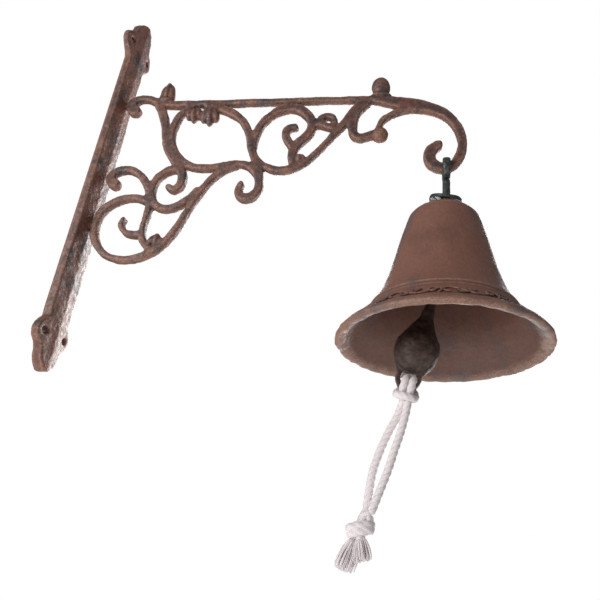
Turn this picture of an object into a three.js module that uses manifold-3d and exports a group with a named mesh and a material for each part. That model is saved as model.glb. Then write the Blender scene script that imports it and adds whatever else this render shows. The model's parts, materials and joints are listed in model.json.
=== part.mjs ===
// A cast-iron wall bell: a scrollwork bracket holds an eye bolt in its hook, the bolt carries the
// bell, and the clapper hangs inside it with a doubled cotton cord through its tail.
// Millimetres. +X points away from the wall, +Z up, +Y to the bracket's left as seen from the wall.
// The origin is the centre of the wall plate's back face.
import * as THREE from "three";
import { mergeVertices } from "three/addons/utils/BufferGeometryUtils.js";
import Module from "manifold-3d";

const wasm = await Module();
wasm.setup();

// ---- driving dimensions ----
const GAP = 0.3; // kept between neighbouring solids
const ARM_THICKNESS = 5; // of every bar of the bracket, across the arm
const degrees = THREE.MathUtils.degToRad;

const PLATE = {
  bodyHalfWidth: 8.5,
  edgeThickness: 4.4, // at the long edges
  ridgeThickness: 6, // along the middle line
  holeHeight: 106.5, // screw holes above and below the centre
  holeRadius: 1.9,
  topSize: 1.1, // the three-lobed ends, as a share of the drawn one
  bottomSize: 0.88,
};

const HANG = { x: 211.6, z: -1.6 }; // middle of the hook's bar inside the eye
const BELL_LEAN = degrees(2.2); // bolt and bell lean this much back to the wall
const CLAPPER_LEAN = degrees(17.2); // link and clapper

// Distances up the bolt from the hang point, so most are negative.
const BOLT = { wire: 4.3, eyeInner: 5, eyeThickness: 2.5, eyeMiddle: -1.3, shankEnd: -47 };
// The bell's hole is wider than the bolt, and the bell sits a little off its middle.
const BELL = {
  boss: -28.2, crown: -32.4, roof: -36, mouth: -115.3, lipRadius: 55, boreRadius: 4.1, offset: -1.4,
};
// The washer sits askew on the rough boss: tilt lowers its hook side and nod its near side.
const WASHER = {
  radius: 9.5, thickness: 2.3, tilt: degrees(5), nod: degrees(8), middle: -25.6, offset: -0.6,
};
const INNER_WASHER = { radius: 7.5, top: -36.3, bottom: -37.7 };
const NUT = { acrossFlats: 9, top: -38, bottom: -42.5 };
const EYE_NUT = { radius: 4.4, top: -42.8, bottom: -50, eyeInner: 3.6, wire: 2.6, eyeMiddle: -55.2 };
const LINK_SEAT = EYE_NUT.eyeMiddle - EYE_NUT.eyeInner - EYE_NUT.wire / 2; // wire that the link hangs on

// Distances up from the link's seat, along the leaning clapper.
const LINK = { inner: 4.5, wire: 2.4, middle: -2.9 };
const CLAPPER = {
  eyeInner: 3.4,
  eyeWire: 2.6,
  eyeMiddle: -10.5,
  bulbMiddle: -58.7,
  bulbRadius: 11.6,
  tailHalfWidth: 6.4,
  tailThickness: 3.6,
  hole: -73.4,
  holeRadius: 3.9,
  tailEnd: -80.3,
};

const CORD = { diameter: 3.6, sides: 8, stepDiameters: 2.4 };
const HITCH = { top: -71.6, bottom: -84.8, halfWidth: 4.6, shift: 1.5 };

// ---- solids ----
function solid(geometry) {
  const bare = geometry.clone();
  bare.deleteAttribute("normal");
  bare.deleteAttribute("uv");
  const merged = mergeVertices(bare, 1e-4);
  return new wasm.Manifold(
    new wasm.Mesh({
      numProp: 3,
      vertProperties: merged.attributes.position.array,
      triVerts: new Uint32Array(merged.index.array),
    }),
  );
}

function geometryOf(body) {
  const mesh = body.getMesh();
  const geometry = new THREE.BufferGeometry();
  geometry.setAttribute("position", new THREE.BufferAttribute(mesh.vertProperties, 3));
  geometry.setIndex(new THREE.BufferAttribute(mesh.triVerts, 1));
  return geometry;
}

function join(geometries) {
  return geometries.map(solid).reduce((all, next) => all.add(next));
}

// An outline in the X-Z plane, thickened to both sides of Y = 0.
function slab(shape, thickness, bevel = 0) {
  const geometry = new THREE.ExtrudeGeometry(shape, {
    depth: thickness - 2 * bevel,
    bevelEnabled: bevel > 0,
    bevelThickness: bevel,
    bevelSize: bevel,
    bevelOffset: -bevel,
    bevelSegments: 1,
    curveSegments: 20,
  });
  geometry.translate(0, 0, bevel - thickness / 2);
  return geometry.rotateX(Math.PI / 2);
}

// A bar of changing width along a smooth curve through [x, z, width] points, with round ends.
function barShape(points, stepLength = 3) {
  const curve = new THREE.CatmullRomCurve3(
    points.map(([x, z, width]) => new THREE.Vector3(x, z, width)),
    false,
    "centripetal",
  );
  const steps = Math.max(4, Math.round(curve.getLength() / stepLength));
  const middle = curve.getSpacedPoints(steps);
  const left = [];
  const right = [];
  for (let i = 0; i <= steps; i++) {
    const before = middle[Math.max(i - 1, 0)];
    const after = middle[Math.min(i + 1, steps)];
    const along = new THREE.Vector2(after.x - before.x, after.y - before.y).normalize();
    const side = new THREE.Vector2(-along.y, along.x).multiplyScalar(middle[i].z / 2);
    const here = new THREE.Vector2(middle[i].x, middle[i].y);
    left.push(here.clone().add(side));
    right.push(here.clone().sub(side));
  }
  const tail = roundEnd(right[steps], left[steps]);
  return new THREE.Shape([...roundEnd(left[0], right[0]), ...right, ...tail, ...left.reverse()]);
}

// Points of the half circle from one side of a bar's end to the other, without its two ends.
function roundEnd(from, to) {
  const centre = from.clone().add(to).multiplyScalar(0.5);
  const arm = from.clone().sub(centre);
  const segments = 4;
  const points = [];
  for (let i = 1; i < segments; i++) {
    points.push(centre.clone().add(arm.clone().rotateAround(new THREE.Vector2(), (Math.PI * i) / segments)));
  }
  return points;
}

function bars(lists, bevel = 0) {
  return lists.map((points) => slab(barShape(points), ARM_THICKNESS, bevel));
}

// A flattened bud standing on or hanging from a bar.
function bud(x, z, halfWidth, halfHeight, halfThickness) {
  return new THREE.SphereGeometry(1, 14, 9).scale(halfWidth, halfThickness, halfHeight).translate(x, 0, z);
}

function box(low, high) {
  const size = high.map((value, axis) => value - low[axis]);
  return new THREE.BoxGeometry(...size).translate(...low.map((value, axis) => value + size[axis] / 2));
}

function tube(points, diameter) {
  const curve = new THREE.CatmullRomCurve3(points.map((p) => new THREE.Vector3(...p)), false, "centripetal");
  const section = new THREE.Shape();
  for (let i = 0; i < CORD.sides; i++) {
    const angle = (2 * Math.PI * i) / CORD.sides;
    const place = [(diameter / 2) * Math.cos(angle), (diameter / 2) * Math.sin(angle)];
    if (i === 0) section.moveTo(...place);
    else section.lineTo(...place);
  }
  section.closePath();
  const steps = Math.max(3, Math.round(curve.getLength() / (CORD.stepDiameters * diameter)));
  return new THREE.ExtrudeGeometry(section, { steps, bevelEnabled: false, extrudePath: curve });
}

// ---- finishes ----
const castPaint = { color: "#6b4a3e", roughness: 0.6, metalness: 0.2 };
const boltPaint = { color: "#2c302c", roughness: 0.5, metalness: 0.5 };
const darkIron = { color: "#33261f", roughness: 0.55, metalness: 0.4 };
const cotton = { color: "#d9d3d2", roughness: 0.95, metalness: 0 };

function part(name, geometry, finish) {
  const mesh = new THREE.Mesh(geometry, new THREE.MeshStandardMaterial(finish));
  mesh.name = name;
  return mesh;
}

// ---- wall plate: a bar with a three-lobed end at the top and the bottom ----
const LOBE_HOLE = 9; // screw hole to either side of the middle line
// Half of an end, from the bar's edge to the tip: [across, height above the screw holes].
const LOBES = [
  [9, -9.4], [11.6, -6.6], [13.8, -3], [14.2, 0.6], [12.9, 4.4],
  [9.4, 7.4], [8, 10.6], [7.2, 15], [4.6, 19.2], [1.8, 21.6],
];
const LOBE_TIP = 22;

// The two halves run the same way round the plate: direction is 1 at the top and -1 at the bottom.
function plateEnd(size, direction) {
  const half = (side) => LOBES.map(([across, up]) => [
    side * across * size,
    direction * (PLATE.holeHeight + up * size),
  ]);
  const tip = [0, direction * (PLATE.holeHeight + LOBE_TIP * size)];
  return [...half(direction), tip, ...half(-direction).reverse()];
}

function plateOutline() {
  const w = PLATE.bodyHalfWidth;
  const shoulder = PLATE.holeHeight - 13.5;
  const outline = [
    [w, -shoulder],
    [w, shoulder],
    ...plateEnd(PLATE.topSize, 1),
    [-w, shoulder],
    [-w, -shoulder],
    ...plateEnd(PLATE.bottomSize, -1),
  ];
  const shape = new THREE.Shape(outline.map(([across, height]) => new THREE.Vector2(across, height)));
  for (const [size, direction] of [[PLATE.topSize, 1], [PLATE.bottomSize, -1]]) {
    for (const side of [-1, 1]) {
      const hole = new THREE.Path();
      hole.absarc(side * LOBE_HOLE * size, direction * PLATE.holeHeight, PLATE.holeRadius, 0, 2 * Math.PI);
      shape.holes.push(hole);
    }
  }
  return shape;
}

// The outline is drawn across Y and Z, then thickened towards +X and cut to a low ridge.
function wallPlate() {
  const thick = PLATE.ridgeThickness;
  const blank = new THREE.ExtrudeGeometry(plateOutline(), {
    depth: thick,
    bevelEnabled: false,
    curveSegments: 12,
  });
  blank.applyMatrix4(new THREE.Matrix4().makeBasis(
    new THREE.Vector3(0, 1, 0),
    new THREE.Vector3(0, 0, 1),
    new THREE.Vector3(1, 0, 0),
  ));
  const slope = (thick - PLATE.edgeThickness) / PLATE.bodyHalfWidth;
  const reach = 30;
  const roof = new THREE.Shape([
    new THREE.Vector2(-1, -reach),
    new THREE.Vector2(thick - slope * reach, -reach),
    new THREE.Vector2(thick, 0),
    new THREE.Vector2(thick - slope * reach, reach),
    new THREE.Vector2(-1, reach),
  ]);
  const length = 2 * PLATE.holeHeight + 80;
  const flat = { depth: length, bevelEnabled: false };
  const prism = new THREE.ExtrudeGeometry(roof, flat).translate(0, 0, -length / 2);
  return geometryOf(solid(blank).intersect(solid(prism)));
}

// ---- bracket arm: lists of [x, z, width] along the middle of each bar ----
// The top bar starts as a curl against the plate.
const TOP_BAR = [
  [12.6, 50, 8], [10.2, 53.6, 7], [10.6, 58, 5.4], [15, 60.6, 4.6], [21, 60.2, 4.6], [27, 57.2, 5.4],
  [35, 55.2, 5], [60, 55, 4.2], [100, 55.4, 3.9], [150, 55.6, 3.9], [172, 55.3, 5],
];
const HOOK = [
  [164, 55.5, 4], [178, 53, 7.5], [190, 49.8, 10.6], [200, 47.6, 8.8], [208.5, 44, 7.4],
  [214.6, 38.8, 6.8], [219.4, 31, 6.2], [221.8, 22, 5.8], [221.8, 13.5, 5.7], [219.4, 5.6, 5.9],
  [215, -0.2, 5.8], [209.4, -2, 6.6], [203.2, 1.2, 7.4], [201.6, 7, 7.6], [203.4, 12.4, 7.6],
  [207, 15.8, 6.2],
];
const HOOK_BRANCH = [[170.5, 30, 3.6], [173, 36.8, 3.4], [178, 41.4, 3.4], [185, 44.8, 4], [192, 47, 5]];

const SCROLLS = [
  // long S from the top bar down past the oval, ending in the small inner curl
  [[28.4, 53.4, 6], [30.2, 50, 6], [33, 43.5, 5.6], [35.6, 34, 4.6], [37.6, 26, 5], [41.4, 17, 6.4],
   [46.5, 9, 7], [51, 2, 6], [53.4, -5.5, 4.8], [53, -11.5, 4.6], [49.6, -14.2, 4.4], [46.8, -12.4, 4]],
  // oval: left side, bottom, and on into the drop curl
  [[50, 53, 4], [44, 46.5, 4], [41, 38.5, 4.4], [40.2, 29.5, 4.6], [42, 20.5, 5.4], [46.5, 12.5, 6],
   [53, 6, 5], [60, 2.5, 4.3], [68, 2, 4.3], [76, 3, 4.2], [84, 4.6, 4], [91, 3.6, 4.6], [97, -1.5, 5],
   [100, -8.5, 4.9], [100, -15.5, 5], [96.4, -20.5, 5.6], [91.2, -20.4, 5.6], [88.6, -16, 4.8],
   [89.6, -11, 3.6]],
  // small C between the oval and the plate
  [[50, 2, 5], [44.5, 1, 4.6], [39.6, -3.4, 4.2], [37, -10, 4.2], [37, -17, 4.4], [40, -23.6, 4.4],
   [46, -27.4, 4.3], [52.5, -26.6, 4.2], [58.5, -22.4, 4], [64, -15, 3.6]],
  // second curl against the plate, running on down the divider
  [[13, -9, 7], [10.4, -6, 6], [10.8, -1, 5], [15, 1.6, 4.4], [21, 1.6, 4.4], [27, -2, 4.4],
   [32, -8, 4.6], [35.4, -15, 4.6], [37, -23, 4.2], [37.4, -32, 3.2], [37, -41, 3], [38.4, -49, 3.6],
   [43, -55, 4]],
  // lower loop and the long S that carries it up under the oval
  [[36, -22, 5], [30, -19.6, 4.2], [23, -19.6, 4.2], [15.8, -22.6, 4.2], [10.6, -28.6, 4.2],
   [8.8, -37, 4], [9.8, -45, 4], [13.6, -52.6, 4], [20, -58.6, 3.8], [27.5, -61.2, 3.6],
   [35, -61.2, 3.8], [42, -58.8, 4], [48.4, -54, 4], [53.6, -47, 3.8], [57.4, -38.6, 3.6],
   [60.6, -29.6, 3.6], [64, -20.6, 3.6], [67.6, -12.6, 3.8], [72.4, -5, 4], [79, 1, 4], [86, 4.4, 4]],
  // curl inside the lower loop
  [[37, -45, 4], [31, -44.8, 3.8], [26.8, -43, 3.4], [24, -38.6, 3], [24.6, -34.4, 2]],
  // bar from the oval's top to the drop curl
  [[60, 53, 5], [69, 50.4, 5.6], [76.6, 46.4, 5.6], [83, 41, 5.2], [87.4, 34, 4.8], [90.4, 26, 4.8],
   [92.4, 17.5, 5], [95, 9.6, 5], [98.4, 2, 5], [100, -6, 4.6]],
  // large C, its inner curl's stem
  [[93, 16, 4.6], [93.6, 24, 4.6], [95.2, 32, 4.6], [98.8, 39.4, 4.8], [104.4, 45.6, 5.4],
   [111.5, 49.4, 6.4], [119, 48.6, 6.4], [125, 43.6, 6.2], [128.6, 36.4, 5.8], [128, 29.4, 5.6],
   [124.6, 23.6, 5.6], [120.4, 18.4, 5.6], [118.2, 12.4, 5.4], [118.6, 5, 5]],
  // inner curl of the large C
  [[118, 16, 5], [114.4, 22.4, 5], [112.8, 27.6, 5], [114.4, 32.2, 4.6], [118.2, 33, 4]],
  // the large C's bottom, climbing to the bar
  [[94, 12, 4.8], [98.6, 5.2, 4.6], [104.4, 1, 4.4], [111, -0.8, 4.3], [118, 0, 4.4], [124.6, 3.6, 4],
   [130.4, 9, 3.2], [135.6, 15.6, 3], [140.4, 22.6, 3.4], [145, 29.4, 4.4], [149.6, 36.4, 5],
   [153.6, 43.6, 5.2], [158, 51, 5]],
  // hook-side C that ends in a ball
  [[163, 52, 5], [157.6, 46, 5.4], [154.8, 39, 5.8], [154.4, 32, 6], [155.4, 26.4, 6],
   [158.6, 23.4, 5.6], [163, 24, 5], [168, 26, 5]],
  // crossbar of the leaf curl
  [[129, 35, 4.6], [135, 34.6, 4.6], [141.6, 31.6, 4.4]],
];

function scrollArm() {
  const leaves = [
    slab(barShape([[51.6, 51, 7], [51.8, 44, 6.6], [52.4, 40.4, 5.4]]), ARM_THICKNESS), // petals in the oval
    slab(barShape([[61, 52, 9], [61.4, 44, 9], [62, 39.6, 7]]), ARM_THICKNESS),
    slab(barShape([[136.6, 35, 5], [137.4, 40.6, 7], [139.6, 42, 5]]), ARM_THICKNESS), // leaf curl
    slab(barShape([[43, -54, 6], [46.4, -47.6, 7], [48, -46, 6]]), ARM_THICKNESS), // bud in the lower loop
    slab(barShape([[119, 5, 7], [124.6, 7.6, 6]]), ARM_THICKNESS), // bud on the large C
    bud(171.6, 25.4, 5.3, 5.8, 4),
  ];
  const front = PLATE.ridgeThickness + GAP;
  const wallSide = box([-20, -20, -200], [front, 20, 200]);
  return join([...bars(SCROLLS), ...leaves]).subtract(solid(wallSide));
}

function hookBar() {
  const finials = [bud(31.2, 66, 4.4, 9, 4), bud(171.8, 66, 6.3, 9, 4.4)];
  return join([...bars([TOP_BAR, HOOK, HOOK_BRANCH], 1), ...finials]);
}

// The bar is cut clear of the scrolls that rise to it, so the two stand a hair apart.
function bracket() {
  const bar = hookBar();
  const slack = [];
  for (const [dx, dz] of [[GAP, 0], [-GAP, 0], [0, GAP], [0, -GAP]]) slack.push(bar.translate([dx, 0, dz]));
  const fat = slack.reduce((all, next) => all.add(next), bar);
  const wide = fat.add(fat.translate([0, GAP, 0])).add(fat.translate([0, -GAP, 0]));
  const arm = scrollArm().subtract(wide);
  const pieces = arm.decompose().sort((a, b) => b.volume() - a.volume());
  return [
    part("wall_plate", wallPlate(), castPaint),
    part("scroll_arm", geometryOf(pieces[0]), castPaint),
    part("hook_bar", geometryOf(bar), castPaint),
  ];
}

// ---- turned and bent pieces, all drawn along Z ----
function ring(inner, wire, middle, segments = 24) {
  const torus = new THREE.TorusGeometry(inner + wire / 2, wire / 2, 8, segments);
  return torus.translate(0, middle, 0).rotateX(Math.PI / 2);
}

function rod(radius, top, bottom, sides = 24) {
  const middle = (top + bottom) / 2;
  const cylinder = new THREE.CylinderGeometry(radius, radius, top - bottom, sides);
  return cylinder.rotateX(Math.PI / 2).translate(0, 0, middle);
}

function pierced(outer, holeRadius, low = -300) {
  return geometryOf(solid(outer).subtract(solid(rod(holeRadius, 100, low))));
}

const crosswise = (geometry) => geometry.rotateZ(Math.PI / 2);

// ---- hanger: what is fixed to the eye bolt, z = 0 at the hang point ----
function hangerParts() {
  // The wire is hammered flat round the eye, and keeps its full width across the hook.
  const eye = crosswise(ring(BOLT.eyeInner, BOLT.eyeThickness, BOLT.eyeMiddle, 32));
  eye.scale(BOLT.wire / BOLT.eyeThickness, 1, 1);
  const shank = rod(BOLT.wire / 2, BOLT.eyeMiddle - BOLT.eyeInner - BOLT.eyeThickness / 2, BOLT.shankEnd);
  const clear = BOLT.wire / 2 + GAP;
  const disc = rod(WASHER.radius, WASHER.thickness / 2, -WASHER.thickness / 2, 32);
  const washer = pierced(disc, clear + 2 * GAP)
    .rotateY(WASHER.tilt)
    .rotateX(WASHER.nod)
    .translate(WASHER.offset, 0, WASHER.middle);
  const inner = rod(INNER_WASHER.radius, INNER_WASHER.top, INNER_WASHER.bottom);
  const hexagon = rod(NUT.acrossFlats / Math.sqrt(3), NUT.top, NUT.bottom, 6);
  const barrel = join([
    rod(EYE_NUT.radius, EYE_NUT.top, EYE_NUT.bottom),
    crosswise(ring(EYE_NUT.eyeInner, EYE_NUT.wire, EYE_NUT.eyeMiddle, 20)),
  ]);
  return [
    part("eye_bolt", geometryOf(join([eye, shank])), boltPaint),
    part("crown_washer", washer, boltPaint),
    part("inner_washer", pierced(inner, clear), boltPaint),
    part("clamp_nut", pierced(hexagon, clear), boltPaint),
    part("eye_nut", pierced(geometryOf(barrel), clear, BOLT.shankEnd - GAP), darkIron),
  ];
}

// ---- bell: [radius, height on the bolt], down the outside and back up the inside ----
const BELL_OUTSIDE = [
  [6.5, BELL.boss], [9.4, -31.4], [12.8, BELL.crown], [14.4, -33.4], [15.2, -35],
  [17.6, -36], [19.8, -38.4], [21.3, -42.2],
  [22.4, -46.4], [24.8, -56], [27.9, -69], [31.2, -80.5], [34.4, -89], [38.6, -96.4],
  [40, -99.4], [45, -105.4], [50.4, -109.8], [53.6, -112.2], [BELL.lipRadius, -114],
];
const BELL_LIP = [[54.2, BELL.mouth], [51.4, BELL.mouth]];
const BELL_INSIDE = [
  [49.6, -114], [44.6, -108.6], [39.4, -103], [34.8, -96.6], [31, -89], [27.8, -80],
  [24.4, -68.6], [21.4, -56], [18.9, -46], [16.6, -41], [13.4, -38.6],
];

function bellShell() {
  const wall = [...BELL_OUTSIDE, ...BELL_LIP, ...BELL_INSIDE];
  const top = [BELL.boreRadius, BELL.boss];
  const profile = [top, ...wall, [10, BELL.roof], [BELL.boreRadius, BELL.roof], top];
  const points = profile.map(([radius, height]) => new THREE.Vector2(radius, height));
  return new THREE.LatheGeometry(points.reverse(), 40).rotateX(Math.PI / 2).translate(BELL.offset, 0, 0);
}

// ---- link and clapper, z = 0 at the link's seat ----
const clapperLink = () => ring(LINK.inner, LINK.wire, LINK.middle);

// [radius, height]: a stem that swells into a pear-shaped bulb.
function clapperBody() {
  const { bulbMiddle: b, bulbRadius: r, eyeMiddle, eyeInner, eyeWire } = CLAPPER;
  const stemTop = eyeMiddle - eyeInner - eyeWire / 2;
  const profile = [
    [0, stemTop], [2.6, stemTop], [2.8, b + 26], [3.8, b + 18], [6.8, b + 11.6], [9.8, b + 6.8],
  ];
  for (let i = 0; i <= 8; i++) {
    const angle = degrees(20 - 95 * (i / 8));
    profile.push([r * Math.cos(angle), b + 1.05 * r * Math.sin(angle)]);
  }
  profile.push([0, b - 1.05 * r]);
  const points = profile.map(([radius, height]) => new THREE.Vector2(radius, height));
  return new THREE.LatheGeometry(points.reverse(), 24).rotateX(Math.PI / 2);
}

function clapperTail() {
  const { bulbMiddle, bulbRadius, tailHalfWidth: w, tailEnd, hole } = CLAPPER;
  const top = bulbMiddle - 0.6 * bulbRadius;
  const shape = new THREE.Shape();
  shape.moveTo(-w + 1, top);
  shape.lineTo(-w, hole + 2);
  shape.quadraticCurveTo(-w, tailEnd, 0, tailEnd);
  shape.quadraticCurveTo(w, tailEnd, w, hole + 2);
  shape.lineTo(w - 1, top);
  shape.closePath();
  const eye = new THREE.Path();
  eye.absarc(0, hole, CLAPPER.holeRadius, 0, 2 * Math.PI);
  shape.holes.push(eye);
  return slab(shape, CLAPPER.tailThickness);
}

function clapper() {
  const eye = crosswise(ring(CLAPPER.eyeInner, CLAPPER.eyeWire, CLAPPER.eyeMiddle, 20));
  return geometryOf(join([eye, clapperBody(), clapperTail()]));
}

// ---- cord: a doubled length hitched through the clapper's tail and knotted ----
// Outer shape of the hitch: a saddle under the tail, seen along X as a U.
function cordHitch() {
  const { top, bottom, halfWidth, shift } = HITCH;
  const inner = CLAPPER.tailThickness / 2 + GAP;
  const outer = inner + CORD.diameter;
  const floor = CLAPPER.tailEnd - GAP;
  const shape = new THREE.Shape();
  shape.moveTo(-outer, top);
  shape.lineTo(-outer, floor);
  shape.quadraticCurveTo(-outer, bottom, 0, bottom);
  shape.quadraticCurveTo(outer, bottom, outer, floor);
  shape.lineTo(outer, top);
  shape.lineTo(inner, top);
  shape.lineTo(inner, floor);
  shape.lineTo(-inner, floor);
  shape.lineTo(-inner, top);
  shape.closePath();
  const flat = { depth: 2 * halfWidth, bevelEnabled: false, curveSegments: 6 };
  const saddle = new THREE.ExtrudeGeometry(shape, flat);
  return crosswise(saddle.translate(0, 0, -halfWidth).rotateX(Math.PI / 2)).translate(shift, 0, 0);
}

// The two strands, from under the hitch to the top of the knot, and the two ends below it.
const STRAND_LEFT = [
  [184.4, 1.3, -144.4], [182.2, 1.5, -150], [177.8, 1.6, -158], [174.2, 1.7, -166],
  [171, 1.8, -175], [169.2, 1.9, -185], [168.2, 2, -193.8],
];
const STRAND_RIGHT = [
  [187.4, -2.6, -144.4], [186.2, -2.4, -150], [184, -2.2, -158], [181.2, -2.1, -166],
  [178.2, -2, -175], [174.2, -2, -185], [170.6, -2, -193.8],
];
const KNOT = { x: 166, z: -199, halfWidth: 6.2, halfDepth: 5, halfHeight: 4.4, tilt: degrees(14) };
const END_LEFT = [[162.6, 1.4, -205.2], [160.8, 1.6, -209], [159, 1.8, -213]];
const END_RIGHT = [[165.8, -2.4, -204.4], [166.4, -2.4, -208], [167, -2.4, -211.4]];

function cordKnot() {
  const { x, z, halfWidth, halfDepth, halfHeight, tilt } = KNOT;
  const ball = new THREE.SphereGeometry(1, 16, 10).scale(halfWidth, halfDepth, halfHeight);
  return ball.rotateY(-tilt).translate(x, 0, z);
}

function cordParts() {
  const strands = {
    cord_strand_left: STRAND_LEFT,
    cord_strand_right: STRAND_RIGHT,
    cord_end_left: END_LEFT,
    cord_end_right: END_RIGHT,
  };
  const tubes = Object.entries(strands).map(([name, route]) =>
    part(name, tube(route, CORD.diameter), cotton),
  );
  return [...tubes, part("cord_knot", cordKnot(), cotton)];
}

// ---- assembly ----
const bell = new THREE.Group();
bell.name = "wall_bell";
bell.add(...bracket());

const hanging = new THREE.Group();
hanging.position.set(HANG.x, 0, HANG.z);
hanging.rotation.y = BELL_LEAN;
hanging.add(...hangerParts(), part("bell_shell", bellShell(), castPaint));

const swinging = new THREE.Group();
swinging.position.z = LINK_SEAT;
swinging.rotation.y = CLAPPER_LEAN - BELL_LEAN;
swinging.add(
  part("clapper_link", clapperLink(), darkIron),
  part("clapper", clapper(), darkIron),
  part("cord_hitch", cordHitch(), cotton),
);
hanging.add(swinging);
bell.add(hanging, ...cordParts());

export default bell;
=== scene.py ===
"""Builds the visible model of a cast-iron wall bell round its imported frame.

A scrollwork bracket carries an eye bolt in its hook. The bolt holds the bell, and a clapper
with a doubled cotton cord hangs inside it. Lengths in the classes are millimetres, as on a
drawing, and every mesh is in metres.
"""

from __future__ import annotations

import json
import logging
import math
from dataclasses import dataclass, field
from enum import Enum
from typing import Callable, Iterable, Sequence

import bmesh
import bpy
import numpy as np
from mathutils import Matrix, Vector, noise
from mathutils.geometry import tessellate_polygon

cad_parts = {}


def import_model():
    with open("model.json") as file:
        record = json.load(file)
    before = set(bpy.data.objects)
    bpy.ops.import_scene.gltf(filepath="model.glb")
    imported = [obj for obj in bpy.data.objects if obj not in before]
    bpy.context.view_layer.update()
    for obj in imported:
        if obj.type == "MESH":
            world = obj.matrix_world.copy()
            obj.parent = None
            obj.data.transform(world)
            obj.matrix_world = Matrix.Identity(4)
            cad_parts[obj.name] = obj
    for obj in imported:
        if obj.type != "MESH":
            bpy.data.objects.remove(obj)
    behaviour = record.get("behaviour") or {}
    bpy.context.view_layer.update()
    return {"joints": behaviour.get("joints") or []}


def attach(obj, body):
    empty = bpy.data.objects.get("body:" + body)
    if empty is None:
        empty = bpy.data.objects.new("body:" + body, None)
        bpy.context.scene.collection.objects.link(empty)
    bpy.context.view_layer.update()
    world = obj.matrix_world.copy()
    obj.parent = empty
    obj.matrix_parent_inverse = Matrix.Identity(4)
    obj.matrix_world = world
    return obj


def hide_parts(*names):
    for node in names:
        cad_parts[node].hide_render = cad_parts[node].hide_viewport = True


LOG = logging.getLogger("wall_bell")
MM = 0.001
Point = Sequence[float]


class Body(Enum):
    """The moving bodies of the bell, as the frame names them."""

    BRACKET = "bracket"
    HANGER = "hanger"
    BELL = "bell"
    LINK = "link"
    CLAPPER = "clapper"


class Slot(Enum):
    """The record's material slots."""

    CASTING = "painted_casting"
    BELL = "bell_casting"
    STEEL = "dark_steel"
    IRON = "clapper_iron"
    COTTON = "cotton_cord"


# ---- shapes ----


@dataclass
class Shape:
    """Points and faces on their way to a mesh, in millimetres."""

    points: list[Vector] = field(default_factory=list)
    faces: list[tuple[int, ...]] = field(default_factory=list)

    def add(self, *others: Shape) -> Shape:
        """Takes in other shapes as further loose parts.

        Args:
            others: The shapes to take in.

        Returns:
            This shape.
        """
        for other in others:
            start = len(self.points)
            self.points += other.points
            self.faces += [tuple(i + start for i in face) for face in other.faces]
        return self

    def moved(self, matrix: Matrix) -> Shape:
        """Returns a copy carried by a matrix whose offsets are millimetres."""
        return Shape([matrix @ point for point in self.points], list(self.faces))

    def to_object(self, name: str) -> bpy.types.Object:
        """Makes a Blender object with doubles merged and faces outward.

        Args:
            name: The object's name.

        Returns:
            The object, at the origin, in metres.
        """
        mesh = bpy.data.meshes.new(name)
        mesh.from_pydata([point * MM for point in self.points], [], self.faces)
        work = bmesh.new()
        work.from_mesh(mesh)
        bmesh.ops.remove_doubles(work, verts=work.verts, dist=0.01 * MM)
        bmesh.ops.recalc_face_normals(work, faces=work.faces)
        work.to_mesh(mesh)
        work.free()
        obj = bpy.data.objects.new(name, mesh)
        bpy.context.scene.collection.objects.link(obj)
        return obj


def smooth_line(points: Iterable[Point], step: float, spatial: int = 3) -> np.ndarray:
    """Runs a centripetal Catmull-Rom curve through points and spaces it evenly.

    Args:
        points: The points, which may carry further values such as a width.
        step: The spacing along the curve.
        spatial: How many leading values are coordinates.

    Returns:
        One row for each even step, with both ends kept.
    """
    p = np.array([list(point) for point in points], float)
    p = np.vstack([2 * p[0] - p[1], p, 2 * p[-1] - p[-2]])
    dense = []
    for i in range(1, len(p) - 2):
        gaps = [np.linalg.norm((p[k + 1] - p[k])[:spatial]) ** 0.5 for k in (i - 1, i, i + 1)]
        t0, t1 = 0.0, gaps[0]
        t2 = t1 + gaps[1]
        t3 = t2 + gaps[2]
        for t in np.linspace(t1, t2, 24, endpoint=False):
            a1 = (t1 - t) / (t1 - t0) * p[i - 1] + (t - t0) / (t1 - t0) * p[i]
            a2 = (t2 - t) / (t2 - t1) * p[i] + (t - t1) / (t2 - t1) * p[i + 1]
            a3 = (t3 - t) / (t3 - t2) * p[i + 1] + (t - t2) / (t3 - t2) * p[i + 2]
            b1 = (t2 - t) / (t2 - t0) * a1 + (t - t0) / (t2 - t0) * a2
            b2 = (t3 - t) / (t3 - t1) * a2 + (t - t1) / (t3 - t1) * a3
            dense.append((t2 - t) / (t2 - t1) * b1 + (t - t1) / (t2 - t1) * b2)
    dense.append(p[-2])
    line = np.array(dense)
    walked = np.concatenate([[0], np.cumsum(np.linalg.norm(np.diff(line[:, :spatial], axis=0), axis=1))])
    count = max(2, round(walked[-1] / step)) + 1
    even = np.linspace(0, walked[-1], count)
    return np.column_stack([np.interp(even, walked, line[:, k]) for k in range(line.shape[1])])


def oval(half_u: float, half_v: float, sides: int, power: float = 2.0) -> list[tuple[float, float]]:
    """Gives the points of an oval, or of a rounded rectangle when power is over 2."""
    points = []
    for k in range(sides):
        angle = 2 * math.pi * k / sides
        c, s = math.cos(angle), math.sin(angle)
        u = half_u * math.copysign(abs(c) ** (2 / power), c)
        v = half_v * math.copysign(abs(s) ** (2 / power), s)
        points.append((u, v))
    return points


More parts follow.
